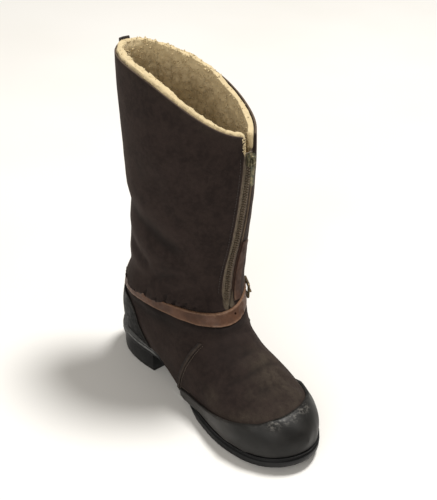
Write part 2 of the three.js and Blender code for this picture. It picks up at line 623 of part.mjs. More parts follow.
const sliderPlace = placeAtFrontZ(ZIP_SLIDER_Z);
const frontAt = (place) => pointAtDepth(place, "outer", 0, 0, 0);
const upTheZip = frontAt(sliderPlace + 0.05).sub(frontAt(sliderPlace - 0.05));
const sliderFrame = frameOn(sliderPlace, "outer", 0, 0, upTheZip);
const onSlider = (geometry) => solidOf(geometry.applyMatrix4(sliderFrame));
const shapeOf = (points) => new THREE.Shape(points.map(([x, y]) => new THREE.Vector2(x, y)));
const bothSides = (points) => [...points, ...points.toReversed().map(([x, y]) => [-x, y])];
const sliderShape = shapeOf(
  bothSides([
    [SLIDER.footHalf, -SLIDER.tall / 2],
    [SLIDER.topHalf, SLIDER.tall / 2 - SLIDER.shoulder],
    [SLIDER.topHalf - SLIDER.chamfer, SLIDER.tall / 2],
  ]),
);
const bailShape = new THREE.Shape().absarc(0, 0, BAIL.outer, 0, Math.PI);
bailShape.absarc(0, 0, BAIL.inner, Math.PI, 0, true);
const bail = plate(bailShape, -BAIL.wide / 2, BAIL.wide)
  .rotateX(Math.PI / 2)
  .rotateZ(Math.PI / 2)
  .translate(0, 0, SLIDER.top - BAIL.sunk);
const sliderBody = onSlider(plate(sliderShape, SLIDER.base, SLIDER.top - SLIDER.base));
add("zip_slider", sliderBody.add(onSlider(bail)), BRASS, 0.45, 0.9);

const pullShape = shapeOf(
  bothSides([
    [PULL.half - PULL.tipIn, -PULL.long],
    [PULL.half - PULL.waist, PULL.tip - PULL.long],
    [PULL.half - PULL.waist, -PULL_EYE.foot - PULL.taper],
    [PULL.half, -PULL_EYE.foot],
    [PULL.half, PULL_EYE.bar],
  ]),
);
const eyeHalfTall = (PULL_EYE.foot - PULL_EYE.bar) / 2;
const eye = roundedRectangle(PULL_EYE.half, eyeHalfTall, PULL_EYE.corner, new THREE.Path());
const eyeDrop = new THREE.Vector2(0, -(PULL_EYE.bar + PULL_EYE.foot) / 2);
pullShape.holes.push(new THREE.Path(eye.getPoints(4).map((point) => point.add(eyeDrop))));
const pull = plate(pullShape, SLIDER.top + PULL.pivot - PULL.thick / 2, PULL.thick);
add("zip_pull", onSlider(pull), BRASS, 0.45, 0.9);

// Fleece: tufted pile inside the shaft, cut back from the tape, with locks along the rim
const liningPlaces = spaced(HEEL_SEAT + LINING_FROM, COLLAR, LINING_ROWS);
const tuft = (place, share) =>
  Math.sin(place * TUFT.alongPlaces) * Math.sin(share * TUFT.acrossShares) * Math.sin(Math.PI * share);
const pileDepth = (place, share) => WALL + FLEECE + TUFT.deep * tuft(place, share);
const reliefHalf = TAPE.half + TAPE.relief;
const zipRelief = bandSolid(
  zipPlaces(ZIP_FOOT_Z, TAPE_TOP_Z + TAPE.relief, 16),
  spaced(-reliefHalf, reliefHalf, 8),
  0,
  TAPE.reliefDepth,
);
let fleece = wallSolid(liningPlaces, LINING_ACROSS, LINING_DEPTH, pileDepth).subtract(zipRelief);
for (const side of ["outer", "inner"]) {
  for (let i = 0; i < LOCK.count; i += 1) {
    const share = THREE.MathUtils.lerp(LOCK.from, LOCK.to, (i + 0.5) / LOCK.count);
    const depth = LINING_DEPTH + LOCK.depth + 0.6 * Math.sin(5 * i);
    const at = pointAtDepth(COLLAR - LOCK.below, side, share, 0, depth);
    const tall = LOCK.tall * (1 + 0.3 * Math.sin(7 * i));
    const lock = new THREE.OctahedronGeometry(1).scale(LOCK.wide, LOCK.wide, tall);
    fleece = fleece.add(solidOf(lock.translate(at.x, at.y, at.z)));
  }
}
add("fleece_lining", fleece, FLEECE_CREAM, 1);

// Pull tab, sewn flat outside the back of the collar with its fold standing above the rim
const rim = UPPER_SECTIONS[COLLAR];
const rimBack = new THREE.Vector2(rim.backX, rim.backZ);
const lowerBack = surfacePoint(COLLAR - PULL_TAB.slopeOver, "outer", 1, 0);
const downWall = new THREE.Vector2(lowerBack.x, lowerBack.z).sub(rimBack).normalize();
const tabPoint = (outwards, downwards) => [
  rimBack.x - outwards + downWall.x * downwards,
  rimBack.y + downWall.y * downwards,
];
const tabOutline = [
  tabPoint(GAP, PULL_TAB.down),
  tabPoint(GAP, PULL_TAB.round - PULL_TAB.above),
  tabPoint(GAP + PULL_TAB.round, -PULL_TAB.above),
  tabPoint(GAP + PULL_TAB.thick - PULL_TAB.round, -PULL_TAB.above),
  tabPoint(GAP + PULL_TAB.thick, PULL_TAB.round - PULL_TAB.above),
  tabPoint(GAP + PULL_TAB.thick, PULL_TAB.down),
];
const tabFrom = PULL_TAB.middleY - PULL_TAB.wide / 2;
add("pull_tab", sidePrism(tabOutline, tabFrom, tabFrom + PULL_TAB.wide), TAB_LEATHER, 0.7);

export default boot;
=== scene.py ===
# Looks of a flying boot: worn suede upper, cream fleece, rubber rand and sole, leather strap and brass zip.
# Blender works in metres, in the part's frame: +X to the toe, +Y to the outer side, +Z up.
# Sizes below are in millimetres, and MM turns them into metres.

import math

import bmesh
import bpy
import numpy as np
from mathutils import Matrix, Vector, noise
from mathutils.bvhtree import BVHTree


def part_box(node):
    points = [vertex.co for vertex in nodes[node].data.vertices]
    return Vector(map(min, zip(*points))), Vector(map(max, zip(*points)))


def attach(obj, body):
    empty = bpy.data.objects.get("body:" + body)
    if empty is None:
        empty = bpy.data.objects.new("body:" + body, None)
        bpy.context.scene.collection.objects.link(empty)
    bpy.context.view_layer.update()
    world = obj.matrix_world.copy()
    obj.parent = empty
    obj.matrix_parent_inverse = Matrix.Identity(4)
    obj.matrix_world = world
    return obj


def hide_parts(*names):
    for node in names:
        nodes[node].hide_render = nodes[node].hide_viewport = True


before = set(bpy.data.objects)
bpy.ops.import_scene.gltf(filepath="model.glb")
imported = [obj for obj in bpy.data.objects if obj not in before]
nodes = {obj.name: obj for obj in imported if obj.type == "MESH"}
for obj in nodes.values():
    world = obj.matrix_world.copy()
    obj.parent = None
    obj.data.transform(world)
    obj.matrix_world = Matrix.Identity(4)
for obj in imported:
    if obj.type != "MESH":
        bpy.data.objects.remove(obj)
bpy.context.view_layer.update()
scene = bpy.context.scene
rng = np.random.default_rng(11)
MM = 0.001

# Middle of the shaft seen from above, and the radius at which the shaft is unrolled for its folds
SHAFT_MIDDLE = np.array([49.0, 5.0])
UNROLL_RADIUS = 60

# Middle plane of the ankle strap: its height at the origin and its rise to the toe and to the outer side.
# The last value is half the strap's width.
STRAP_LEVEL = 105
STRAP_RISE_TOE = 0.09
STRAP_RISE_OUTER = 0.06
STRAP_HALF = 5.75

# Only what stands higher than this belongs to the collar
COLLAR_LOW = 300

# Soft folds of the shaft, each with its points, its width and its depth. The points are given by their turn
# round the boot in degrees (0 front, 90 outer, 180 back, -90 inner) and their height.
SHAFT_FOLDS = [
    ([(-178, 214), (-133, 209), (-95, 198), (-60, 188), (-30, 180)], 11, 2.4),
    ([(30, 180), (60, 182), (100, 192), (140, 204), (180, 213)], 11, 2.4),
    ([(-150, 172), (-118, 158), (-88, 150)], 7, 1.5),
    ([(-100, 136), (-70, 146), (-38, 158)], 6, 1.8),
    ([(-62, 128), (-44, 137), (-24, 146)], 4.5, 1.3),
    ([(34, 142), (62, 137), (96, 130)], 6, 1.8),
    ([(110, 150), (140, 158), (168, 166)], 7, 1.5),
    ([(-128, 252), (-96, 262), (-66, 258)], 13, 1.2),
    ([(60, 246), (92, 254), (126, 250)], 13, 1.2),
]

# Short pleats over the strap's upper edge, likewise, but with heights over the strap's middle
STRAP_PLEATS = [
    ([(-112, 6), (-98, 19)], 2.8, 2.0),
    ([(-88, 6), (-79, 17)], 2.4, 1.8),
    ([(-70, 6), (-62, 20)], 2.6, 2.2),
    ([(-55, 6), (-48, 17)], 2.4, 2.2),
    ([(-42, 6), (-35, 15)], 2.3, 1.9),
    ([(-32, 6), (-27, 12)], 2.0, 1.3),
    ([(58, 6), (50, 17)], 2.6, 1.6),
    ([(84, 6), (94, 16)], 2.6, 1.6),
    ([(120, 6), (112, 18)], 2.6, 1.5),
    ([(-140, 6), (-150, 16)], 2.6, 1.6),
]

# How far the suede bags outward over the strap's upper edge, how far it sags over it, and between which
# heights over the strap's middle the bag fades out
BAG_OUT = 5.6
BAG_SAG = 7.5
BAG_FADE = (12, 30)

# The suede's relief goes no deeper than this, and it fades out between these distances from an overlay
DEEPEST = 3.2
OVERLAY_NEAR = 2
OVERLAY_FAR = 8

# Heights between which the ankle's suede is modelled more finely, and how far below the collar's edge
ANKLE_LOW = 84
ANKLE_HIGH = 225
RIM_FINE = 6

# Only what lies further to the front than this belongs to the zip slot
SLOT_X = 95

# A line through the middle of the foot and the shaft, from the toe up
MIDDLE_LINE = [(250, -6, 30), (190, -3, 34), (120, 0, 48), (52, 2, 90), (49, 5, 160), (45, 6, 420)]

# Where rays that find the suede start from in front, beside and behind, and how far they reach
CAST_FRONT = 180.0
CAST_SIDE = 150.0
CAST_BEHIND = -90
CAST_REACH = 200

# Creases across the vamp where the foot bends, each with its points by x and y, its width and its depth
VAMP_CREASES = [
    ([(170, -42), (180, -20), (184, 4), (178, 34)], 5.5, 2.1),
    ([(157, -38), (165, -14), (166, 12), (158, 36)], 5, 1.7),
    ([(196, -30), (203, -8), (200, 18)], 4.5, 1.4),
    ([(124, -34), (141, -18), (147, 3), (144, 24)], 3.6, 1.6),
    ([(132, -38), (150, -22), (156, 0)], 4.2, 1.5),
    ([(212, -38), (218, -20), (217, 2)], 4, 1.1),
    ([(186, 10), (205, 22), (216, 34)], 4.5, 1.3),
]

# Upper edge of the rubber rand in the side view: x and height
RAND_X = (103, 119, 143, 167, 183, 200, 225, 238, 243)
RAND_TOP = (19.5, 23, 26, 32, 37.5, 43.5, 50.5, 57, 60)

# Scuffed spots on the rand, with their reach
RAND_SCUFFS = [
    ((236, -31, 52), 5),
    ((239, -25, 54), 4),
    ((241, -16, 55.5), 5),
    ((242, -5, 56), 5),
    ((241, 5, 55.5), 4),
    ((240, 13, 54), 5),
]

# Where the suede's side is scuffed over the rand, with its reach
SIDE_SCUFF = ((160, -48, 46), 11)

# Dark stain on the vamp below the strap, and where its ridge and the toe are rubbed, with their reach
VAMP_STAIN = ((153, -18, 89), 19)
VAMP_RUBS = [((180, 7, 78), 13), ((203, 9, 66), 15), ((200, -22, 66), 12)]


def smoothstep(values, low, high):
    t = np.clip((values - low) / (high - low), 0, 1)
    return t * t * (3 - 2 * t)


def bump_at(values, middle, wide):
    return np.exp(-(((values - middle) / wide) ** 2))


def spot_at(points, spot, reach):
    """1 in the middle of a round spot, fading out over its reach."""
    return bump_at(np.linalg.norm(points - spot, axis=1), 0, reach)


def noise_at(points, size, seed=0.0):
    """Smooth noise from -1 to 1 at points in millimetres, with lumps of about the given size."""
    shift = Vector((seed, 3.7 * seed, -2.1 * seed))
    return np.array([noise.noise(Vector(p) / size + shift) for p in points])


def cells_at(points, size, seed=0.0):
    """0 in the middle of a cell of about the given size, rising towards its edge."""
    shift = Vector((seed, seed, seed))
    return np.array([noise.voronoi(Vector(p) / size + shift)[0][0] for p in points])


def strap_height(points):
    """Height above the strap's middle plane."""
    return points[:, 2] - (STRAP_LEVEL + STRAP_RISE_TOE * points[:, 0] + STRAP_RISE_OUTER * points[:, 1])


def turn_of(points):
    """Turn round the shaft in degrees: 0 in front, 90 on the outer side, -90 on the inner side."""
    flat = points[:, :2] - SHAFT_MIDDLE
    return np.degrees(np.arctan2(flat[:, 1], flat[:, 0]))


def find_rim(near_turn=8, edge_tall=3):
    """Turns and heights of the points on the collar's edge."""
    places = np.array([v.co for v in nodes["upper"].data.vertices]) / MM
    places = places[places[:, 2] > COLLAR_LOW]
    turns = turn_of(places)
    apart = np.abs((turns[:, None] - turns[None, :] + 180) % 360 - 180)
    highest = np.where(apart < near_turn, places[None, :, 2], 0).max(axis=1)
    on_rim = places[:, 2] > highest - edge_tall
    order = np.argsort(turns[on_rim])
    return turns[on_rim][order], places[on_rim, 2][order]


RIM_TURNS, RIM_HEIGHTS = find_rim()


def rim_height(points):
    """Height above the edge of the collar."""
    return points[:, 2] - np.interp(turn_of(points), RIM_TURNS, RIM_HEIGHTS, period=360)


def unrolled(turns, heights, first_turn):
    """Turns and heights as a flat sheet that is cut open opposite its first turn."""
    from_first = (turns - first_turn + 180) % 360 - 180
    return np.stack([np.radians(from_first) * UNROLL_RADIUS, heights], axis=1)


def nearest_on_path(points, path):
    """Distance of points to a path, the share of its length at the nearest spot, and that spot."""
    path = np.array(path, dtype=float)
    lengths = np.linalg.norm(np.diff(path, axis=0), axis=1)
    best = np.full(len(points), np.inf)
    share = np.zeros(len(points))
    nearest = np.zeros_like(points)
    passed = 0.0
    for start, end, length in zip(path[:-1], path[1:], lengths):
        t = np.clip((points - start) @ (end - start) / length**2, 0, 1)
        spot = start + t[:, None] * (end - start)
        distance = np.linalg.norm(points - spot, axis=1)
        nearer = distance < best
        best = np.where(nearer, distance, best)
        share = np.where(nearer, (passed + t * length) / lengths.sum(), share)
        nearest = np.where(nearer[:, None], spot, nearest)
        passed += length
    return best, share, nearest


def fold_relief(flat, path, wide, deep):
    """A soft trough along a path, with a low ridge on each side and both ends faded out."""
    distance, share, _ = nearest_on_path(flat, path)
    fade = smoothstep(np.minimum(share, 1 - share), 0, 0.25)
    valley = np.exp(-((distance / wide) ** 1.4))
    return deep * fade * (0.5 * bump_at(distance, 2 * wide, wide) - valley)


def merged(node):
    """A copy of a CAD node whose loose triangles are merged and paired into quads."""
    bm = bmesh.new()
    bm.from_mesh(nodes[node].data)
    bmesh.ops.remove_doubles(bm, verts=bm.verts, dist=0.005 * MM)
    limits = {"angle_face_threshold": math.radians(30), "angle_shape_threshold": math.radians(60)}
    bmesh.ops.join_triangles(bm, faces=bm.faces, **limits)
    return bm


def sharp_edges(bm, degrees):
    """The edges between two faces that are sharper than an angle."""
    paired = [e for e in bm.edges if len(e.link_faces) == 2]
    return [e for e in paired if e.calc_face_angle() > math.radians(degrees)]


def object_of(name, bm):
    """A new object in the scene, made of a bmesh that is then freed."""
    mesh = bpy.data.meshes.new(name)
    bm.to_mesh(mesh)
    bm.free()
    made = bpy.data.objects.new(name, mesh)
    scene.collection.objects.link(made)
    return made


def discard(draft):
    mesh = draft.data
    bpy.data.objects.remove(draft)
    bpy.data.meshes.remove(mesh)


def evaluated(bm, add_modifiers):
    """The bmesh with a set of modifiers applied."""
    draft = object_of("draft", bm)
    add_modifiers(draft)
    finished = draft.evaluated_get(bpy.context.evaluated_depsgraph_get())
    result = bmesh.new()
    result.from_mesh(finished.to_mesh())
    finished.to_mesh_clear()
    discard(draft)
    return result


def rounded(bm, levels, weight, degrees=45):
    """The bmesh as a subdivision surface whose sharp edges stay partly sharp."""
    layers = bm.edges.layers.float
    crease = layers.get("crease_edge") or layers.new("crease_edge")
    for edge in sharp_edges(bm, degrees):
        edge[crease] = weight

    def subdivide(draft):
        modifier = draft.modifiers.new("round", "SUBSURF")
        modifier.levels = levels
        modifier.render_levels = levels

    return evaluated(bm, subdivide)


def points_of(bm):
    """Places in millimetres and normals of a bmesh's vertices."""
    bm.normal_update()
    places = np.array([v.co for v in bm.verts]) / MM
    return places, np.array([v.normal for v in bm.verts])


def move_to(bm, places):
    for vert, place in zip(bm.verts, places * MM):
        vert.co = place
    bm.normal_update()


def refine(bm, wanted):
    """Splits each edge in two whose ends are both wanted, by a test of their places and normals."""
    marks = wanted(*points_of(bm))
    edges = [e for e in bm.edges if marks[e.verts[0].index] and marks[e.verts[1].index]]
    bmesh.ops.subdivide_edges(bm, edges=edges, cuts=1, use_grid_fill=True)
    bm.verts.index_update()


def set_attribute(bm, name, values):
    layer = bm.verts.layers.float.new(name)
    for vert, value in zip(bm.verts, values):
        vert[layer] = float(value)


def bevel_edges(bm, wide, degrees, segments=2):
    """Bevels the edges that are sharper than an angle."""
    shape = {"segments": segments, "profile": 0.5, "affect": "EDGES", "clamp_overlap": True, "material": -1}
    bmesh.ops.bevel(bm, geom=sharp_edges(bm, degrees), offset=wide * MM, **shape)


def add_piece(name, bm, material, stands_for=(), body="boot", sharp_degrees=None):
    """Makes a finished piece of a bmesh, riding on a body and standing for CAD nodes."""
    piece = object_of(name, bm)
    piece.data.shade_smooth()
    if sharp_degrees is not None:
        piece.data.set_sharp_from_angle(angle=math.radians(sharp_degrees))
    piece.data.materials.append(material)
    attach(piece, body)
    if stands_for:
        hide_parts(*stands_for)


def scattered(template, transforms):
    """One bmesh with a copy of a small template at each transform."""
    template.verts.index_update()
    places = np.array([v.co for v in template.verts])
    loops = [[v.index for v in f.verts] for f in template.faces]
    template.free()
    m = np.array(transforms)
    copies = places @ m[:, :3, :3].transpose(0, 2, 1) + m[:, None, :3, 3]
    shifts = range(0, len(transforms) * len(places), len(places))
    faces = [[index + shift for index in loop] for shift in shifts for loop in loops]
    joined = bpy.data.meshes.new("draft")
    joined.from_pydata(copies.reshape(-1, 3).tolist(), [], faces)
    bm = bmesh.new()
    bm.from_mesh(joined)
    bpy.data.meshes.remove(joined)
    return bm


def frame_at(place, along, outward):
    """Transform whose x runs along, z outward, at a place in millimetres."""
    z = Vector(outward).normalized()
    x = (Vector(along) - z * Vector(along).dot(z)).normalized()
    y = z.cross(x)
    return Matrix.Translation(Vector(place) * MM) @ Matrix((x, y, z)).transposed().to_4x4()


def zip_path(ring_points=6):
    """Middle of the zip chain from the bottom up, one place for each ring of points of the CAD chain."""
    bm = merged("zip_chain")
    places, _ = points_of(bm)
    bm.free()
    rings = places[np.argsort(places[:, 2])].reshape(-1, ring_points, 3)
    return rings.mean(axis=1)


def along_path(path, pitch):
    """Points every pitch along a path, with the direction of the path at each."""
    lengths = np.concatenate([[0], np.cumsum(np.linalg.norm(np.diff(path, axis=0), axis=1))])
    stations = np.arange(pitch / 2, lengths[-1], pitch)

    def at(distances):
        return np.stack([np.interp(distances, lengths, path[:, i]) for i in range(3)], axis=1)

    return at(stations), at(stations + 1) - at(stations - 1)


chain_path = zip_path()


def slot_side(places):
    """How far a place lies to the outer side of the zip's middle line, in millimetres."""
    return places[:, 1] - np.interp(places[:, 2], chain_path[:, 2], chain_path[:, 1])


# Materials


def new_material(name, **sockets):
    material = bpy.data.materials.new(name)
    material.use_nodes = True
    shader = material.node_tree.nodes["Principled BSDF"]
    for socket, value in sockets.items():
        shader.inputs[socket.replace("_", " ")].default_value = value
    return material


def put(material, kind, inputs=(), **settings):
    """Adds a node, with its inputs given as values or as the sockets that feed them."""
    tree = material.node_tree
    made = tree.nodes.new(kind)
    for name, value in settings.items():
        setattr(made, name, value)
    for key, value in dict(inputs).items():
        if isinstance(value, bpy.types.NodeSocket):
            tree.links.new(value, made.inputs[key])
        else:
            made.inputs[key].default_value = value
    return made


def object_place(material):
    return put(material, "ShaderNodeTexCoord").outputs["Object"]


def attribute(material, name):
    return put(material, "ShaderNodeAttribute", attribute_name=name).outputs["Fac"]


def grain(material, size, detail=3.0, rough=0.55, place=None):
    """Noise from 0 to 1 with lumps of a size in millimetres."""
    inputs = {"Vector": place or object_place(material), "Scale": 1 / (size * MM)}
    inputs |= {"Detail": detail, "Roughness": rough}
    return put(material, "ShaderNodeTexNoise", inputs).outputs["Fac"]


def ramped(material, value, low, high, to_low=0.0, to_high=1.0):
    inputs = {"Value": value, "From Min": low, "From Max": high, "To Min": to_low, "To Max": to_high}
    return put(material, "ShaderNodeMapRange", inputs, interpolation_type="SMOOTHSTEP").outputs["Result"]


def combined(material, operation, a, b):
    return put(material, "ShaderNodeMath", {0: a, 1: b}, operation=operation).outputs["Value"]


def masked(material, name, share):
    """A share that holds only as far as an attribute of the mesh says."""
    return combined(material, "MULTIPLY", attribute(material, name), share)


def mixed(material, share, a, b):
    colour = {0: share, 6: a, 7: b}
    return put(material, "ShaderNodeMix", colour, data_type="RGBA").outputs[2]


def finish_surface(material, colour, roughness=None, heights=()):
    """Feeds a shader its colour, its roughness and its bumps, given as (height, depth in mm, strength)."""
    shader = material.node_tree.nodes["Principled BSDF"]
    links = material.node_tree.links
    links.new(colour, shader.inputs["Base Color"])
    if roughness is not None:
        links.new(roughness, shader.inputs["Roughness"])
    normal = None
    for height, depth, strength in heights:
        inputs = {"Height": height, "Distance": depth * MM, "Strength": strength}
        if normal is not None:
            inputs["Normal"] = normal
        normal = put(material, "ShaderNodeBump", inputs).outputs["Normal"]
    if normal is not None:
        links.new(normal, shader.inputs["Normal"])
    return material


def suede_finish():
    """Dark brown suede: brushed patches, fine nap, rubbed lighter where it is worn, and painted shade in its
    folds and under the strap.
    """
    sheen = {"Sheen_Weight": 0.1, "Sheen_Roughness": 0.45, "Sheen_Tint": (0.5, 0.36, 0.3, 1)}
    m = new_material("worn_suede", Roughness=0.92, Specular_IOR_Level=0.2, **sheen)
    brushed = ramped(m, grain(m, 26, 3), 0.38, 0.64)
    mottled = ramped(m, grain(m, 5, 4), 0.36, 0.66)
    nap = grain(m, 0.8, 2)
    base = mixed(m, brushed, (0.0150, 0.0092, 0.0080, 1), (0.0250, 0.0160, 0.0138, 1))
    base = mixed(m, combined(m, "MULTIPLY", mottled, 0.4), base, (0.036, 0.0235, 0.0195, 1))
    rubbed = ramped(m, grain(m, 9, 5, 0.62), 0.3, 0.7, 0.25, 1.0)
    base = mixed(m, masked(m, "worn", rubbed), base, (0.056, 0.043, 0.032, 1))
    # The first mark below is painted shade in folds and under the strap, with darker suede low at the back
    # and a stain
    marks = {
        "shade_and_grime": (0.0065, 0.005, 0.0046, 1),
        "cut": (0.17, 0.125, 0.088, 1),
        "bound": (0.050, 0.027, 0.019, 1),
        "woven": (0.092, 0.072, 0.050, 1),
    }
    for name, colour in marks.items():
        base = mixed(m, attribute(m, name), base, colour)
    base = mixed(m, ramped(m, nap, 0.3, 0.75, 0.0, 0.35), base, (0.008, 0.0055, 0.005, 1))
    heights = [(grain(m, 4, 3), 0.5, 0.35), (nap, 0.35, 0.55)]
    return finish_surface(m, base, None, heights)


def rubber_finish(name, dark, light, dust_and_painted_light, scuffed):
    """Black moulded rubber, dulled by handling, paler in places with dust and painted light, with pale
    scuffs where it is rubbed.
    """
    m = new_material(name, Roughness=0.5, Specular_IOR_Level=0.27)
    base = mixed(m, ramped(m, grain(m, 18, 4), 0.35, 0.7), dark, light)
    # Paler with dust and painted light where the mesh's mark says
    dusty = ramped(m, grain(m, 7, 4), 0.25, 0.7, 0.5, 1)
    base = mixed(m, masked(m, "dust_and_painted_light", dusty), base, dust_and_painted_light)
    squash = {0: object_place(m), 1: (1, 1, 2.6)}
    flat = put(m, "ShaderNodeVectorMath", squash, operation="MULTIPLY").outputs[0]
    rubbed = ramped(m, grain(m, 4.5, 5, 0.7, flat), 0.46, 0.64)
    base = mixed(m, masked(m, "worn", rubbed), base, scuffed)
    roughness = ramped(m, grain(m, 14, 3), 0.3, 0.7, 0.42, 0.54)
    return finish_surface(m, base, roughness, [(grain(m, 16, 2), 0.5, 0.2), (grain(m, 0.7, 2), 0.06, 0.25)])


def leather_finish(name, dark, light, worn, gloss, shine=0.4):
    """Smooth grained leather, darker in its hollows and paler where its edges are rubbed."""
    m = new_material(name, Roughness=gloss, Specular_IOR_Level=shine)
    base = mixed(m, ramped(m, grain(m, 14, 4), 0.34, 0.68), dark, light)
    streaks = ramped(m, grain(m, 2.2, 4, 0.65), 0.45, 0.7)
    base = mixed(m, combined(m, "MULTIPLY", streaks, 0.4), base, dark)
    rubbed = ramped(m, grain(m, 3, 3), 0.3, 0.6, 0.45, 1)
    base = mixed(m, masked(m, "worn", rubbed), base, worn)
    inputs = {"Vector": object_place(m), "Scale": 1 / (0.9 * MM)}
    pores = put(m, "ShaderNodeTexVoronoi", inputs, feature="F1").outputs["Distance"]
    roughness = ramped(m, grain(m, 5, 3), 0.3, 0.7, gloss - 0.1, gloss + 0.12)
    return finish_surface(m, base, roughness, [(pores, 0.12, 0.35), (grain(m, 3, 3), 0.25, 0.25)])


def fleece_finish():
    """Cream sheepskin pile, with painted shade between its tufts and deep in the shaft, and paler where it
    is clipped at the rim.
    """
    sheen = {"Sheen_Weight": 0.3, "Sheen_Roughness": 0.6, "Sheen_Tint": (0.9, 0.82, 0.64, 1)}
    m = new_material("cream_fleece", Roughness=1.0, Specular_IOR_Level=0.1, **sheen)
    soiled = ramped(m, grain(m, 30, 4), 0.36, 0.66)
    base = mixed(m, soiled, (0.52, 0.408, 0.235, 1), (0.62, 0.50, 0.31, 1))
    # The deep mark is painted shade
    base = mixed(m, attribute(m, "deep"), base, (0.33, 0.25, 0.14, 1))
    base = mixed(m, attribute(m, "clipped"), base, (0.73, 0.595, 0.36, 1))
    hairs = grain(m, 0.8, 4, 0.7)
    base = mixed(m, ramped(m, hairs, 0.35, 0.7, 0.0, 0.3), base, (0.40, 0.305, 0.175, 1))
    return finish_surface(m, base, None, [(grain(m, 2.4, 3), 0.7, 0.4), (hairs, 0.4, 0.5)])


def brass_finish(name, colour, patina, gloss):
    m = new_material(name, Metallic=0.85, Roughness=gloss)
    tarnish = ramped(m, grain(m, 3, 5, 0.65), 0.36, 0.64)
    base = mixed(m, tarnish, colour, patina)
    roughness = ramped(m, grain(m, 2, 4), 0.3, 0.7, gloss - 0.1, gloss + 0.15)
    return finish_surface(m, base, roughness, [(grain(m, 1.2, 3), 0.06, 0.4)])


def tape_finish():
    """Woven zip tape: brown edges, an olive middle, and fine ribs along its length."""
    m = new_material("zip_cloth", Roughness=0.9, Sheen_Weight=0.15)
    across = attribute(m, "across")
    middle = combined(m, "ABSOLUTE", across, 0.0)
    base = mixed(m, ramped(m, middle, 4.2, 5.4), (0.205, 0.160, 0.108, 1), (0.235, 0.172, 0.130, 1))
    base = mixed(m, ramped(m, grain(m, 4, 4), 0.36, 0.66, 0.0, 0.4), base, (0.058, 0.042, 0.03, 1))
    ribs = combined(m, "SINE", combined(m, "MULTIPLY", across, 2 * math.pi / 1.1), 0.0)
    inputs = {"Vector": object_place(m), "Scale": 1 / (1.4 * MM), "Distortion": 0.4}
    picks = put(m, "ShaderNodeTexWave", inputs, bands_direction="Z").outputs["Fac"]
    return finish_surface(m, base, None, [(ribs, 0.18, 0.5), (picks, 0.15, 0.4)])


def thread_finish(name, colour):
    m = new_material(name, Roughness=0.75, Sheen_Weight=0.2)
    twist = grain(m, 0.6, 2)
    base = mixed(m, ramped(m, twist, 0.3, 0.7), colour, tuple(0.55 * c for c in colour[:3]) + (1,))
    return finish_surface(m, base, None, [(twist, 0.1, 0.4)])


suede = suede_finish()
rand_rubber = rubber_finish(
    "rand_rubber",
    dark=(0.0075, 0.0070, 0.0064, 1),
    light=(0.0125, 0.0115, 0.0105, 1),
    dust_and_painted_light=(0.036, 0.033, 0.030, 1),
    scuffed=(0.13, 0.122, 0.11, 1),
)
sole_rubber = rubber_finish(
    "sole_rubber",
    dark=(0.0042, 0.0044, 0.0050, 1),
    light=(0.0075, 0.0076, 0.0080, 1),
    dust_and_painted_light=(0.24, 0.24, 0.235, 1),
    scuffed=(0.09, 0.091, 0.09, 1),
)
counter_leather = leather_finish(
    "counter_leather",
    dark=(0.0030, 0.0028, 0.0027, 1),
    light=(0.0062, 0.0056, 0.0052, 1),
    # The worn colour also paints a highlight along the counter's top edge
    worn=(0.045, 0.042, 0.039, 1),
    gloss=0.58,
    shine=0.1,
)
strap_leather = leather_finish(
    "strap_leather",
    dark=(0.056, 0.023, 0.011, 1),
    light=(0.100, 0.044, 0.023, 1),
    worn=(0.18, 0.098, 0.057, 1),
    gloss=0.52,
    shine=0.34,
)
facing_leather = leather_finish(
    "facing_leather",
    dark=(0.044, 0.021, 0.014, 1),
    light=(0.078, 0.040, 0.027, 1),
    worn=(0.16, 0.095, 0.066, 1),
    gloss=0.7,
    shine=0.18,
)
seam_leather = leather_finish(
    "seam_leather", (0.0125, 0.008, 0.007, 1), (0.020, 0.013, 0.011, 1), (0.042, 0.029, 0.021, 1), 0.9
)
tab_leather = leather_finish(
    "tab_leather", (0.014, 0.010, 0.008, 1), (0.030, 0.021, 0.017, 1), (0.09, 0.065, 0.048, 1), 0.6
)
fleece = fleece_finish()
brass = brass_finish("aged_brass", (0.20, 0.14, 0.075, 1), (0.08, 0.065, 0.04, 1), 0.48)
bronze = brass_finish("zip_bronze", (0.26, 0.22, 0.13, 1), (0.08, 0.085, 0.06, 1), 0.45)
dull_brass = brass_finish("dull_brass", (0.19, 0.145, 0.10, 1), (0.13, 0.10, 0.07, 1), 0.65)
zip_cloth = tape_finish()
tan_thread = thread_finish("tan_thread", (0.115, 0.082, 0.054, 1))
brown_thread = thread_finish("brown_thread", (0.026, 0.017, 0.014, 1))


# Upper: the suede, with its folds, pleats and creases given one by one


def distance_to(names, places, reach):
    """Distance in millimetres from each place to the nearest of some CAD nodes, up to a reach."""
    nearest = np.full(len(places), float(reach))
    for name in names:
        bm = bmesh.new()
        bm.from_mesh(nodes[name].data)
        tree = BVHTree.FromBMesh(bm)
        low, high = (np.array(c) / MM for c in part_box(name))
        close = np.all((places > low - reach) & (places < high + reach), axis=1)
        for i in np.flatnonzero(close):
            found = tree.find_nearest(Vector(places[i] * MM), reach * MM)
            if found[0] is not None:
                nearest[i] = min(nearest[i], found[3] / MM)
        bm.free()
    return nearest


def inside_out(places, normals):
    """1 where a skin faces away from the middle line, and -1 where it faces towards it."""
    _, _, nearest = nearest_on_path(places, MIDDLE_LINE)
    return np.sign(np.sum((places - nearest) * normals, axis=1))


OVERLAYS = ("toe_rand", "heel_counter", "inner_seam", "outer_seam", "zip_facing", "pull_tab")


def strap_bag(places, low, high):
    """How much the suede bags over the strap, rising from 0 between two heights over the strap's middle."""
    over_strap = strap_height(places)
    turns = turn_of(places)
    sides = 0.25 + 0.75 * smoothstep(-turns, 30, 85) + 0.3 * smoothstep(turns, 20, 60)
    lobes = 0.8 + 0.2 * np.sin(np.radians(5 * turns + 40)) * np.cos(np.radians(3 * turns))
    return sides * lobes * smoothstep(over_strap, low, high) * (1 - smoothstep(over_strap, *BAG_FADE))


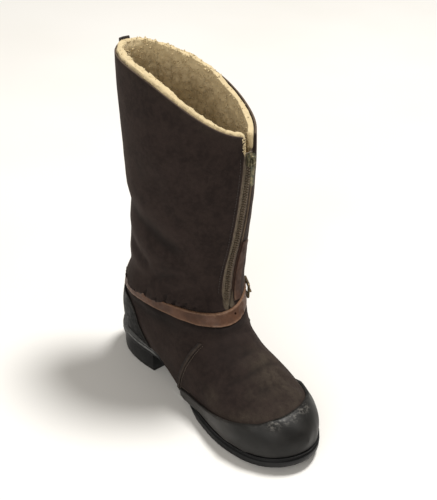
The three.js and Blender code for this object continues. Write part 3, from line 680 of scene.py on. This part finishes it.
def shaft_folds(folds, turns, heights):
    """Relief of folds round the shaft, in millimetres."""
    relief = np.zeros(len(turns))
    for points, wide, deep in folds:
        first_turn = points[0][0]
        path = unrolled(*np.array(points, float).T, first_turn)
        relief += fold_relief(unrolled(turns, heights, first_turn), path, wide, deep)
    return relief


def pleat_relief(places):
    """The pleats over the strap alone, in millimetres."""
    return shaft_folds(STRAP_PLEATS, turn_of(places), strap_height(places))


def free_of_overlays(places):
    """0 under the overlays and 1 away from them, where the suede is free to fold."""
    return smoothstep(distance_to(OVERLAYS, places, OVERLAY_FAR), OVERLAY_NEAR, OVERLAY_FAR)


def suede_relief(places):
    """How far the worn suede stands out from the plain form, in millimetres."""
    turns = turn_of(places)
    over_strap = strap_height(places)
    relief = 0.8 * noise_at(places, 40) + 0.4 * noise_at(places, 14, 5)
    relief += smoothstep(over_strap, 4, 14) * shaft_folds(SHAFT_FOLDS, turns, places[:, 2])
    vamp = smoothstep(-over_strap, 6, 11) * smoothstep(places[:, 2], 30, 45)
    for crease in VAMP_CREASES:
        relief += vamp * fold_relief(places[:, :2], *crease)
    relief += 1.4 * bump_at(over_strap, 52, 22) * smoothstep(np.abs(turns), 60, 130)
    relief += 0.9 * vamp * noise_at(places, 21, 3)
    relief += BAG_OUT * strap_bag(places, 5.8, 7.4)
    relief += 1.2 * bump_at(over_strap, -11, 4)
    relief += pleat_relief(places)
    relief *= smoothstep(np.abs(over_strap), 5, 7.4)
    relief *= free_of_overlays(places)
    relief *= 0.2 + 0.8 * smoothstep(-rim_height(places), 0, 14)
    return np.maximum(relief, -DEEPEST)


def detailed_suede(places, normals):
    """The outer skin round the ankle, and the collar's edge."""
    outer = inside_out(places, normals) > 0
    ankle = outer & (places[:, 2] > ANKLE_LOW) & (places[:, 2] < ANKLE_HIGH)
    return ankle | (rim_height(places) > -RIM_FINE)


def make_upper():
    bm = rounded(merged("upper"), 2, weight=0.75)
    refine(bm, detailed_suede)
    places, normals = points_of(bm)
    outward = inside_out(places, normals)
    relief = suede_relief(places)
    set_attribute(bm, "worn", suede_wear(places))
    # Painted shade in folds and under the strap, with darker suede low at the back and a stain
    set_attribute(bm, "shade_and_grime", suede_shade_and_grime(places, relief))
    for name, values in slot_marks(places, normals).items():
        set_attribute(bm, name, values)
    moved = places + (outward * relief)[:, None] * normals
    moved[:, 2] -= BAG_SAG * strap_bag(places, 6.6, 9.5) * free_of_overlays(places)
    move_to(bm, moved)
    return bm


def suede_wear(places):
    """Where the nap is rubbed: the vamp's ridge, toe and side, over the rand, and a little at the collar."""
    x, y, z = places.T
    ridge = smoothstep(z, 46, 74) * smoothstep(x, 145, 180) * smoothstep(-x, -250, -215)
    side = bump_at(y, 14, 30)
    over_rand = bump_at(z - np.interp(x, RAND_X, RAND_TOP), 4, 7) * smoothstep(x, 150, 205)
    rim = 0.3 * smoothstep(rim_height(places), -16, -2)
    scuff = 0.8 * spot_at(places, *SIDE_SCUFF)
    rubs = 0.45 * sum(spot_at(places, *rub) for rub in VAMP_RUBS)
    return np.clip(0.8 * ridge * side + 0.7 * over_rand + rim + scuff + rubs, 0, 1)


def suede_shade_and_grime(places, relief):
    """Painted shade in the troughs and under the strap, darker towards the bottom at the back, and the
    vamp's dark stain.
    """
    # Painted shade in the troughs of the folds and pleats
    trough = np.maximum(smoothstep(-relief, 0.4, 2.4), smoothstep(-pleat_relief(places), 0.4, 1.5))
    over_strap = strap_height(places)
    rear = smoothstep(-turn_of(places), 15, 70)
    # Painted shadow under the strap, reaching further down round the inner side and back
    painted_strap_shadow = np.maximum(bump_at(over_strap, -9, 5), 1.8 * rear * bump_at(over_strap, -14, 11))
    low = smoothstep(-places[:, 2], -52, -30) * smoothstep(-places[:, 0], -130, -80)
    stain = spot_at(places, *VAMP_STAIN)
    return np.clip(0.6 * trough + 0.5 * painted_strap_shadow + 0.4 * low + 0.4 * stain, 0, 0.9)


def slot_marks(places, normals):
    """Shares of the slot's and collar's pale cut edge, the slot's brown binding, and cloth at its foot."""
    side = slot_side(places)
    z = places[:, 2]
    in_front = places[:, 0] > SLOT_X
    facing_slot = in_front * (side > 3) * (side < 11) * smoothstep(-normals[:, 1], 0.3, 0.7)
    cut = facing_slot * smoothstep(z, 192, 204) * smoothstep(-z, -302, -294)
    collar = smoothstep(normals[:, 2], 0.5, 0.85) * smoothstep(rim_height(places), -4, -1.5)
    cut = np.maximum(cut, 0.7 * collar)
    bound = facing_slot * smoothstep(z, 118, 124) * (1 - smoothstep(z, 192, 204))
    foot = in_front * smoothstep(-np.abs(side), -7.5, -6.5)
    woven = foot * smoothstep(strap_height(places), 5, 6) * (1 - smoothstep(z, 138, 148))
    return {"cut": cut, "bound": bound, "woven": woven}


def on_suede(x, y, z, towards):
    """Points cast on to the suede, and its normals. x, y and z are each a list or one value for all."""
    starts = np.stack(np.broadcast_arrays(x, y, z), axis=1)
    cast = [upper_surface.ray_cast(Vector(p) * MM, Vector(towards), CAST_REACH * MM) for p in starts]
    hits = [hit for hit in cast if hit[0] is not None]
    return np.array([hit[0] for hit in hits]) / MM, np.array([hit[1] for hit in hits])


upper_bm = make_upper()
upper_surface = BVHTree.FromBMesh(upper_bm)
add_piece("suede_upper", upper_bm, suede, ["upper"])


# Overlays: rubber rand, counter, lapped seams, strap, facing and tab

# Heights over which the pull tab's folded top is pressed flat, and up to which the tab is sewn on
TAB_TURN_HEIGHT = 373
TAB_SEWN_HEIGHT = 362

# Holes punched in the strap: place and direction of the one in front, and three along the free end
HOLE_RADIUS = 1.5
HOLE_LONG = 12
STRAP_HOLE = ((134.1, 6.1, 118.2), (0.8, 0.11, 0.59))
END_Y = 52
END_LEVEL = STRAP_LEVEL + STRAP_RISE_OUTER * END_Y
END_HOLES = [((x, END_Y, END_LEVEL + STRAP_RISE_TOE * x), (0, 1, 0)) for x in (53, 62, 84)]

# Upper edge of the counter in the side view: x and height
COUNTER_X = (-45, 0, 14, 26, 43)
COUNTER_TOP = (89, 86, 78, 60, 36)

# The lapped seams in the side view: heights and the x of their middle line
SEAM_HEIGHTS = (6, 20, 38, 56, 76, 90)
SEAM_X = (93, 97, 102, 108, 116, 123)


def make_overlay(node, levels=2, weight=0.7):
    """A rounded copy of a CAD node, with its places and normals."""
    bm = rounded(merged(node), levels, weight=weight)
    return bm, *points_of(bm)


def make_rand():
    bm, places, normals = make_overlay("toe_rand")
    x, y, z = places.T
    edge = smoothstep(z - np.interp(x, RAND_X, RAND_TOP), -9, 0)
    front = smoothstep(x, 200, 240)
    scuffs = sum(spot_at(places, *scuff) for scuff in RAND_SCUFFS)
    set_attribute(bm, "worn", np.clip(scuffs + 0.15 * edge * front, 0, 1))
    # Painted light: the rand's inner rear part and its foot are painted paler
    rear = smoothstep(-x, -215, -175) * smoothstep(-y, 20, 44)
    low = smoothstep(-z, -24, -8)
    set_attribute(bm, "dust_and_painted_light", np.clip(rear + 0.5 * low, 0, 1))
    places = places + (0.25 * noise_at(places, 14, 2))[:, None] * normals
    places[:, 2] += 0.9 * edge * noise_at(places, 19, 6)
    move_to(bm, places)
    add_piece("rubber_rand", bm, rand_rubber, ["toe_rand"])


def make_counter():
    bm, places, normals = make_overlay("heel_counter")
    top = np.interp(places[:, 0], COUNTER_X, COUNTER_TOP)
    # The top edge is painted paler: rubbed wear and a painted highlight along it
    set_attribute(bm, "worn", 0.7 * smoothstep(places[:, 2] - top, -5, 0))
    move_to(bm, places + (0.3 * noise_at(places, 16, 8))[:, None] * normals)
    add_piece("heel_counter_black", bm, counter_leather, ["heel_counter"])


def make_seam(node, name):
    bm, places, _ = make_overlay(node)
    from_line = places[:, 0] - np.interp(places[:, 2], SEAM_HEIGHTS, SEAM_X)
    set_attribute(bm, "worn", bump_at(from_line, 1.2, 1.3))
    add_piece(name, bm, seam_leather, [node])


def punched(bm, holes):
    """The bmesh with round holes cut through it, given as (place, direction) pairs."""
    cutter = bmesh.new()
    size = {"radius1": HOLE_RADIUS * MM, "radius2": HOLE_RADIUS * MM, "depth": HOLE_LONG * MM}
    for place, direction in holes:
        turn = Vector(direction).to_track_quat("Z", "Y").to_matrix().to_4x4()
        at = Matrix.Translation(Vector(place) * MM) @ turn
        bmesh.ops.create_cone(cutter, cap_ends=True, segments=14, matrix=at, **size)
    punch = object_of("punch", cutter)

    def cut(draft):
        modifier = draft.modifiers.new("punch", "BOOLEAN")
        modifier.object = punch
        modifier.solver = "EXACT"

    result = evaluated(bm, cut)
    discard(punch)
    return result


def make_strap(node, name, holes=()):
    bm, places, normals = make_overlay(node)
    edge = np.abs(strap_height(places)) / STRAP_HALF
    groove = bump_at(edge, 0.74, 0.07)
    lumps = 0.2 * noise_at(places, 22, 4)
    move_to(bm, places + (lumps - 0.35 * groove)[:, None] * normals)
    if holes:
        bm = punched(bm, holes)
    places, _ = points_of(bm)
    set_attribute(bm, "worn", smoothstep(np.abs(strap_height(places)) / STRAP_HALF, 0.66, 0.98))
    add_piece(name, bm, strap_leather, [node], sharp_degrees=60)


def seat_tab(places):
    """Presses the fold of the pull tab flat and bends the tab on to the suede behind the collar."""
    places[:, 2] -= 0.2 * np.maximum(places[:, 2] - TAB_TURN_HEIGHT, 0)
    levels = np.clip(places[:, 2], places[:, 2].min() + 2, TAB_SEWN_HEIGHT)
    inner_face = [places[np.abs(places[:, 2] - level) < 2, 0].max() for level in levels]
    for i, level in enumerate(levels):
        behind = Vector((CAST_BEHIND, places[i, 1], level)) * MM
        found = upper_surface.ray_cast(behind, Vector((1, 0, 0)), CAST_REACH * MM)[0]
        if found is not None:
            places[i, 0] += found.x / MM - inner_face[i]


def make_leather(node, name, material):
    bm, places, normals = make_overlay(node, levels=3)
    middle = places.mean(axis=0)
    set_attribute(bm, "worn", smoothstep(np.abs(places[:, 1] - middle[1]), 4, 9) * 0.6)
    places = places + (0.15 * noise_at(places, 9, 6))[:, None] * normals
    if node == "pull_tab":
        seat_tab(places)
    move_to(bm, places)
    add_piece(name, bm, material, [node])


make_rand()
make_counter()
make_seam("inner_seam", "inner_lap_seam")
make_seam("outer_seam", "outer_lap_seam")
make_strap("ankle_strap", "leather_strap", [STRAP_HOLE])
make_strap("strap_end", "leather_strap_end", END_HOLES)
make_strap("strap_keeper", "leather_keeper")
make_leather("zip_facing", "zip_facing_leather", facing_leather)
make_leather("pull_tab", "pull_tab_leather", tab_leather)


# Sole: outsole, heel and insole


def make_rubber_block(node, name, bevel_wide):
    bm = merged(node)
    bevel_edges(bm, bevel_wide, 40)
    bmesh.ops.triangulate(bm, faces=[f for f in bm.faces if len(f.verts) > 4])
    bmesh.ops.subdivide_edges(bm, edges=bm.edges, cuts=1, use_grid_fill=True)
    places, normals = points_of(bm)
    low = smoothstep(-places[:, 2], -9, -1)
    # Painted highlight with dust on the upward ledge round the heel
    painted_ledge_highlight = smoothstep(normals[:, 2], 0.3, 0.8) * smoothstep(-places[:, 0], -60, -40)
    set_attribute(bm, "worn", 0.3 * low)
    set_attribute(bm, "dust_and_painted_light", painted_ledge_highlight)
    add_piece(name, bm, sole_rubber, [node], sharp_degrees=40)


def make_insole():
    bm, places, normals = make_overlay("insole", weight=0.5)
    up = normals[:, 2] > 0.5
    lift = np.where(up, 0.5 * noise_at(places, 9, 3), 0.0)
    # Half the pile's painted shade, evenly
    set_attribute(bm, "deep", np.full(len(places), 0.5))
    set_attribute(bm, "clipped", np.zeros(len(places)))
    move_to(bm, places + lift[:, None] * normals)
    add_piece("felt_insole", bm, fleece, ["insole"])


make_rubber_block("outsole", "rubber_outsole", 0.6)
make_rubber_block("heel", "rubber_heel", 0.8)
make_insole()


# Fleece: a tufted lining with curled locks


# How far below the collar's edge the pile is rounded, in how many passes, and how far it stands up again
RIM_ROUND = 9
RIM_PASSES = 10
RIM_LIFT = 2.6

# How far below the collar's edge the pile's inner skin shows, and how far it is modelled more finely still
PILE_SHOWN = 110
PILE_FINE = 36

# Likewise for both skins at the rim, and for the outer skin over the strap's middle
RIM_SHOWN = 10
RIM_FINER = 8
BAG_TALL = 36

# CAD edges of the lining that are longer than this are split first
LONG_EDGE = 15

# How much further down the pale pile reaches where it is pressed flat
PALE_LONGER = 30

# Cream pile that shows down the zip slot's inner edge: how far down, how far from the zip's middle line,
# and how near to the zip's depth
STRIP_LONG = 18
STRIP_ASIDE = 7.6
STRIP_NEAR = 12


def pressed_at(points):
    """1 round the outer front of the shaft, where the pile is pressed flat, fading to 0 beside it."""
    turns = turn_of(points)
    return smoothstep(turns, 5, 22) * (1 - smoothstep(turns, 85, 112))


def clipped_at(points, reach):
    """How clean and pale the pile is, from 1 at the collar's edge to 0 at a reach below it."""
    return smoothstep(rim_height(points), -reach - PALE_LONGER * pressed_at(points), -3)


def shown_pile(places, normals):
    """The rim, the inner skin that shows, and the outer skin behind the suede's bag over the strap."""
    inward = inside_out(places, normals) < 0
    below = -rim_height(places)
    over_strap = strap_height(places)
    bagged = (over_strap > 0) & (over_strap < BAG_TALL)
    return (below < RIM_SHOWN) | (inward & (below < PILE_SHOWN)) | (~inward & bagged)


def fine_pile(places, normals):
    """The rim, and the upper part of the inner skin."""
    below = -rim_height(places)
    return (below < RIM_FINER) | ((below < PILE_FINE) & (inside_out(places, normals) < 0))


def make_fleece():
    bm = merged("fleece_lining")
    long = [e for e in bm.edges if e.calc_length() > LONG_EDGE * MM]
    bmesh.ops.subdivide_edges(bm, edges=long, cuts=3, use_grid_fill=True)
    bm = rounded(bm, 1, weight=0.4)
    refine(bm, shown_pile)
    refine(bm, fine_pile)
    places, _ = points_of(bm)
    places[:, 2] -= 0.85 * np.maximum(rim_height(places) - 0.6, 0)
    move_to(bm, places)
    rim = [v for v, height in zip(bm.verts, rim_height(places)) if height > -RIM_ROUND]
    for _ in range(RIM_PASSES):
        bmesh.ops.smooth_vert(bm, verts=rim, factor=0.5, use_axis_x=True, use_axis_y=True, use_axis_z=True)
    places, normals = points_of(bm)
    pressed = pressed_at(places)
    places[:, 2] += RIM_LIFT * (1 - 1.15 * pressed) * smoothstep(rim_height(places), -RIM_ROUND, -1)
    height = rim_height(places)
    outward = (inside_out(places, normals) > 0) & (height < -2)
    top = smoothstep(height, -13, -2)
    tufts = 2.3 - 3.0 * cells_at(places, 7) - 1.4 * cells_at(places, 3.4, 5) + 0.6 * noise_at(places, 2, 9)
    scallops = 0.9 + 1.4 * noise_at(places, 9, 4) + 0.8 * noise_at(places, 3.6, 2)
    scallops *= 1 - 0.8 * pressed
    relief = np.where(outward, 0.5 + suede_relief(places), tufts * (1 - top) + scallops * top)
    # Painted shade in the hollows between tufts, deeper down the shaft and in the zip slot
    painted_hollow_shade = 0.7 * smoothstep(-tufts, -0.6, 1.0) * (1 - 0.75 * top)
    depth = 0.38 * smoothstep(-height, 14, 80) + 0.2 * noise_at(places, 11, 3) * (1 - top)
    in_slot = (places[:, 0] > SLOT_X) * bump_at(slot_side(places), 0, 12) * smoothstep(-height, 3, 12)
    set_attribute(bm, "deep", np.where(outward, 0.3, np.clip(painted_hollow_shade + depth + 0.6 * in_slot, 0, 1)))
    pale = clipped_at(places, 24) * (0.75 + 0.25 * noise_at(places, 6, 7))
    set_attribute(bm, "clipped", pale)
    move_to(bm, places + relief[:, None] * normals)
    return bm


def lock_template(radius=1.1, sides=4, rings=3, ring_apart=1.3, taper=0.82, lean=30, curl=26):
    """A curled lock that tapers from ring to ring."""
    bm = bmesh.new()
    bmesh.ops.create_circle(bm, cap_ends=False, radius=radius * MM, segments=sides)
    ring = list(bm.edges)
    curled = Matrix.Rotation(math.radians(curl), 3, "Y")
    for step in range(rings):
        made = bmesh.ops.extrude_edge_only(bm, edges=ring)
        verts = [g for g in made["geom"] if isinstance(g, bmesh.types.BMVert)]
        ring = [g for g in made["geom"] if isinstance(g, bmesh.types.BMEdge)]
        middle = sum((v.co for v in verts), Vector()) / len(verts)
        bmesh.ops.scale(bm, verts=verts, vec=(taper,) * 3, space=Matrix.Translation(-middle))
        turn = Matrix.Rotation(math.radians(lean * (step + 0.5)), 4, "Y")
        bmesh.ops.translate(bm, verts=verts, vec=turn @ Vector((0, 0, ring_apart * MM)))
        bmesh.ops.rotate(bm, verts=verts, cent=middle, matrix=curled)
    bmesh.ops.edgeloop_fill(bm, edges=ring)
    bmesh.ops.recalc_face_normals(bm, faces=bm.faces)
    return bm


def lock_places(bm, count, wanted):
    """Random places on the pile, each with its normal, as often as the wanted weight of a face says."""
    faces = list(bm.faces)
    centres = np.array([f.calc_center_median() for f in faces]) / MM
    normals = np.array([f.normal for f in faces])
    weights = np.array([f.calc_area() for f in faces]) * wanted(centres, normals)
    picked = rng.choice(len(faces), size=count, p=weights / weights.sum())
    return centres[picked], normals[picked]


def wall_pile(centres, normals):
    """Weights of the faces inside the shaft, smaller far below the collar."""
    inward = inside_out(centres, normals) < 0
    below = -rim_height(centres)
    return inward * (below > 2) * (0.2 + 0.8 * smoothstep(-below, -130, -70))


def inner_pile(centres, normals):
    return wall_pile(centres, normals) * (centres[:, 1] < SHAFT_MIDDLE[1])


def outer_pile(centres, normals):
    return wall_pile(centres, normals) * (centres[:, 1] >= SHAFT_MIDDLE[1])


def rim_pile(centres, normals):
    on_top = (np.abs(rim_height(centres)) < 6) * (normals[:, 2] > 0.2)
    far = smoothstep(turn_of(centres), 88, 112) + smoothstep(-turn_of(centres), 150, 175)
    return on_top * (0.15 + 0.85 * np.clip(far, 0, 1))


def strip_places(count):
    """Random places down the zip slot's inner edge below the collar, each with the suede's normal."""
    corner = np.array([[chain_path[-1, 0], chain_path[-1, 1] - STRIP_ASIDE, 0.0]])
    heights = -rim_height(corner)[0] - rng.uniform(0, STRIP_LONG, size=count)
    places, normals = on_suede(CAST_FRONT, corner[0, 1], heights, (-1, 0, 0))
    near = np.abs(places[:, 0] - corner[0, 0]) < STRIP_NEAR
    return places[near], normals[near]


def make_locks(centres, normals, sizes, upright, sunk):
    """Locks of random sizes that stand upright more or less and are sunk into the pile."""
    count = len(centres)
    transforms = []
    for centre, normal in zip(centres, normals):
        lean = 0.7 * Vector(normal) + 0.55 * Vector(rng.normal(size=3)) + Vector((0, 0, upright))
        size = Matrix.Scale(rng.uniform(*sizes), 4)
        transforms.append(frame_at(centre - sunk * normal, rng.normal(size=3), lean) @ size)
    locks = scattered(lock_template(), transforms)
    each = len(locks.verts) // count
    below = -rim_height(centres)
    # Painted shade, growing deeper down the shaft, with a random share
    shade = rng.uniform(0.0, 0.2, size=count) + 0.33 * smoothstep(below, 14, 80)
    set_attribute(locks, "deep", np.repeat(shade, each))
    set_attribute(locks, "clipped", np.repeat(0.7 * clipped_at(centres, 22), each))
    return locks


# How many locks there are, and what each kind looks like
WALL_LOCKS = 6000
RIM_LOCKS = 1000
SLOT_LOCKS = 220
WALL_STYLE = {"sizes": (0.6, 1.0), "upright": 0.1, "sunk": 1.4}
RIM_STYLE = {"sizes": (0.55, 0.95), "upright": 0.25, "sunk": 1.9}
SLOT_STYLE = {"sizes": (0.5, 0.65), "upright": 0.0, "sunk": 1.2}

fleece_bm = make_fleece()
locks = {
    "fleece_inner_locks": make_locks(*lock_places(fleece_bm, WALL_LOCKS, inner_pile), **WALL_STYLE),
    "fleece_outer_locks": make_locks(*lock_places(fleece_bm, WALL_LOCKS, outer_pile), **WALL_STYLE),
    "fleece_rim_locks": make_locks(*lock_places(fleece_bm, RIM_LOCKS, rim_pile), **RIM_STYLE),
    "fleece_slot_locks": make_locks(*strip_places(SLOT_LOCKS), **SLOT_STYLE),
}
add_piece("fleece_pile", fleece_bm, fleece, ["fleece_lining"])
for locks_name, locks_bm in locks.items():
    add_piece(locks_name, locks_bm, fleece)


# Zip: tape, teeth, slider and pull


def make_tape():
    bm, places, _ = make_overlay("zip_tape", weight=0.6)
    set_attribute(bm, "across", slot_side(places))
    add_piece("zip_tape_woven", bm, zip_cloth, ["zip_tape"])


def tooth_template(size=(1.25, 2.9, 2.0), shift=1.25, nose_share=0.72, bevel_wide=0.25):
    """One zip tooth: a small bevelled block, shifted to its side of the chain, with a narrower nose."""
    bm = bmesh.new()
    bmesh.ops.create_cube(bm, size=1)
    bmesh.ops.scale(bm, verts=bm.verts, vec=Vector(size) * MM)
    bmesh.ops.translate(bm, verts=bm.verts, vec=(0, shift * MM, 0))
    nose = [v for v in bm.verts if v.co.y < 0]
    bmesh.ops.scale(bm, verts=nose, vec=(nose_share, 1, nose_share))
    bevel_edges(bm, bevel_wide, 0, 1)
    return bm


def make_teeth(pitch=1.45):
    """Teeth that point to one side and the other in turn."""
    points, along = along_path(chain_path, pitch)
    transforms = []
    for i, (point, direction) in enumerate(zip(points, along)):
        side = 1 if i % 2 else -1
        outward = Vector(direction).cross(Vector((0, side, 0))) * -side
        transforms.append(frame_at(point, side * direction, outward))
    add_piece("zip_teeth", scattered(tooth_template(), transforms), dull_brass, ["zip_chain"])


def make_metal(node, name, material, wide, body="boot"):
    bm = merged(node)
    bevel_edges(bm, wide, 30)
    add_piece(name, bm, material, [node], body, sharp_degrees=50)


make_tape()
make_teeth()
make_metal("zip_slider", "zip_slider_cast", bronze, 0.35)
make_metal("zip_pull", "zip_pull_stamped", bronze, 0.25, "pull")
make_metal("buckle_frame", "buckle_frame_cast", brass, 0.6)
make_metal("buckle_prong", "buckle_prong_bent", brass, 0.4)


# Stitches, laid on the finished suede


def stitch_template(length, thick):
    """A stitch that sinks into the leather at both ends."""
    bm = bmesh.new()
    bmesh.ops.create_uvsphere(bm, u_segments=6, v_segments=5, radius=1)
    bmesh.ops.rotate(bm, verts=bm.verts, cent=(0, 0, 0), matrix=Matrix.Rotation(math.pi / 2, 3, "Y"))
    bmesh.ops.scale(bm, verts=bm.verts, vec=(length / 2 * MM, thick / 2 * MM, thick / 2 * MM))
    return bm


def make_stitches(name, rows, thread, pitch=3.2, thick=0.7, stand_out=0.12, stitch_share=0.82):
    """Rows of stitches that take up a share of the pitch, each row given as its places and normals."""
    transforms = []
    for path, outward in rows:
        points, along = along_path(path, pitch)
        for point, direction in zip(points, along):
            nearest = np.argmin(np.linalg.norm(path - point, axis=1))
            transforms.append(frame_at(point + stand_out * outward[nearest], direction, outward[nearest]))
    stitches = scattered(stitch_template(pitch * stitch_share, thick), transforms)
    add_piece(name, stitches, thread)


def zip_row(offset, low, high):
    """A row beside the zip slot, between two heights."""
    heights = np.linspace(low, high, 60)
    middle = np.interp(heights, chain_path[:, 2], chain_path[:, 1])
    return on_suede(CAST_FRONT, middle + offset, heights, (-1, 0, 0))


def seam_row(side, shift=4.0):
    """A row beside the lapped seam, from its foot up to the strap."""
    heights = np.linspace(14, 88, 40)
    x = np.interp(heights, SEAM_HEIGHTS, SEAM_X) + shift
    return on_suede(x, CAST_SIDE * side, heights, (0, -side, 0))


def corner_row(side):
    """A row over the rear end of the rand, in front of the seam's foot."""
    x = np.linspace(101, 121, 20)
    heights = np.interp(x, RAND_X, RAND_TOP) + 1.6
    return on_suede(x, CAST_SIDE * side, heights, (0, -side, 0))


seam_rows = [seam_row(-1), seam_row(1), corner_row(-1), corner_row(1)]
make_stitches("zip_stitches", [zip_row(-11, 140, 300), zip_row(11, 208, 300)], brown_thread)
make_stitches("seam_stitches", seam_rows, tan_thread, 2.8, 0.6)


# Stage: pale floor, soft studio light and the camera at the photograph's angle


def make_floor():
    bm = bmesh.new()
    bmesh.ops.create_grid(bm, x_segments=8, y_segments=8, size=6)
    floor = object_of("floor", bm)
    floor.location.z = -0.2 * MM
    material = new_material("pale_floor", Roughness=0.9)
    tone = ramped(material, grain(material, 400, 2), 0.3, 0.7)
    finish_surface(material, mixed(material, tone, (0.87, 0.853, 0.82, 1), (0.90, 0.885, 0.86, 1)))
    floor.data.materials.append(material)


def area_light(name, place, target, size, power, colour):
    data = bpy.data.lights.new(name, "AREA")
    data.shape = "DISK"
    data.size = size
    data.energy = power
    data.color = colour
    light = bpy.data.objects.new(name, data)
    light.location = place
    light.rotation_euler = (Vector(target) - Vector(place)).to_track_quat("-Z", "Y").to_euler()
    scene.collection.objects.link(light)


# The camera in degrees and millimetres, with its focal length in pixels, its target and the picture's height
CAMERA = {"azimuth": 46.55, "elevation": 32, "roll": 2.79, "distance": 1000, "focal_pixels": 950}
CAMERA_TARGET = (104, 5, 184)
FRAME_TALL = 500


def make_camera():
    target = Vector(CAMERA_TARGET) * MM
    a, e = math.radians(CAMERA["azimuth"]), math.radians(CAMERA["elevation"])
    back = Vector((math.sin(a) * math.cos(e), -math.cos(a) * math.cos(e), math.sin(e)))
    data = bpy.data.cameras.new("camera")
    data.lens = CAMERA["focal_pixels"] / FRAME_TALL * data.sensor_width
    camera = bpy.data.objects.new("camera", data)
    camera.location = target + back * CAMERA["distance"] * MM
    roll = Matrix.Rotation(math.radians(CAMERA["roll"]), 3, "Z")
    camera.rotation_euler = ((-back).to_track_quat("-Z", "Y").to_matrix() @ roll).to_euler()
    scene.collection.objects.link(camera)
    scene.camera = camera


def make_light():
    world = bpy.data.worlds.new("studio")
    world.use_nodes = True
    background = world.node_tree.nodes["Background"].inputs
    background["Color"].default_value = (1.0, 0.95, 0.865, 1)
    background["Strength"].default_value = 0.3
    scene.world = world
    middle = (0.1, 0, 0.15)
    area_light("key", (0.2, 0.9, 3.4), middle, 0.8, 112, (1.0, 0.99, 0.965))
    area_light("window", (1.2, -2.2, 1.6), middle, 1.6, 26, (1.0, 0.985, 0.955))
    scene.view_settings.view_transform = "Standard"


make_floor()
make_light()
make_camera()
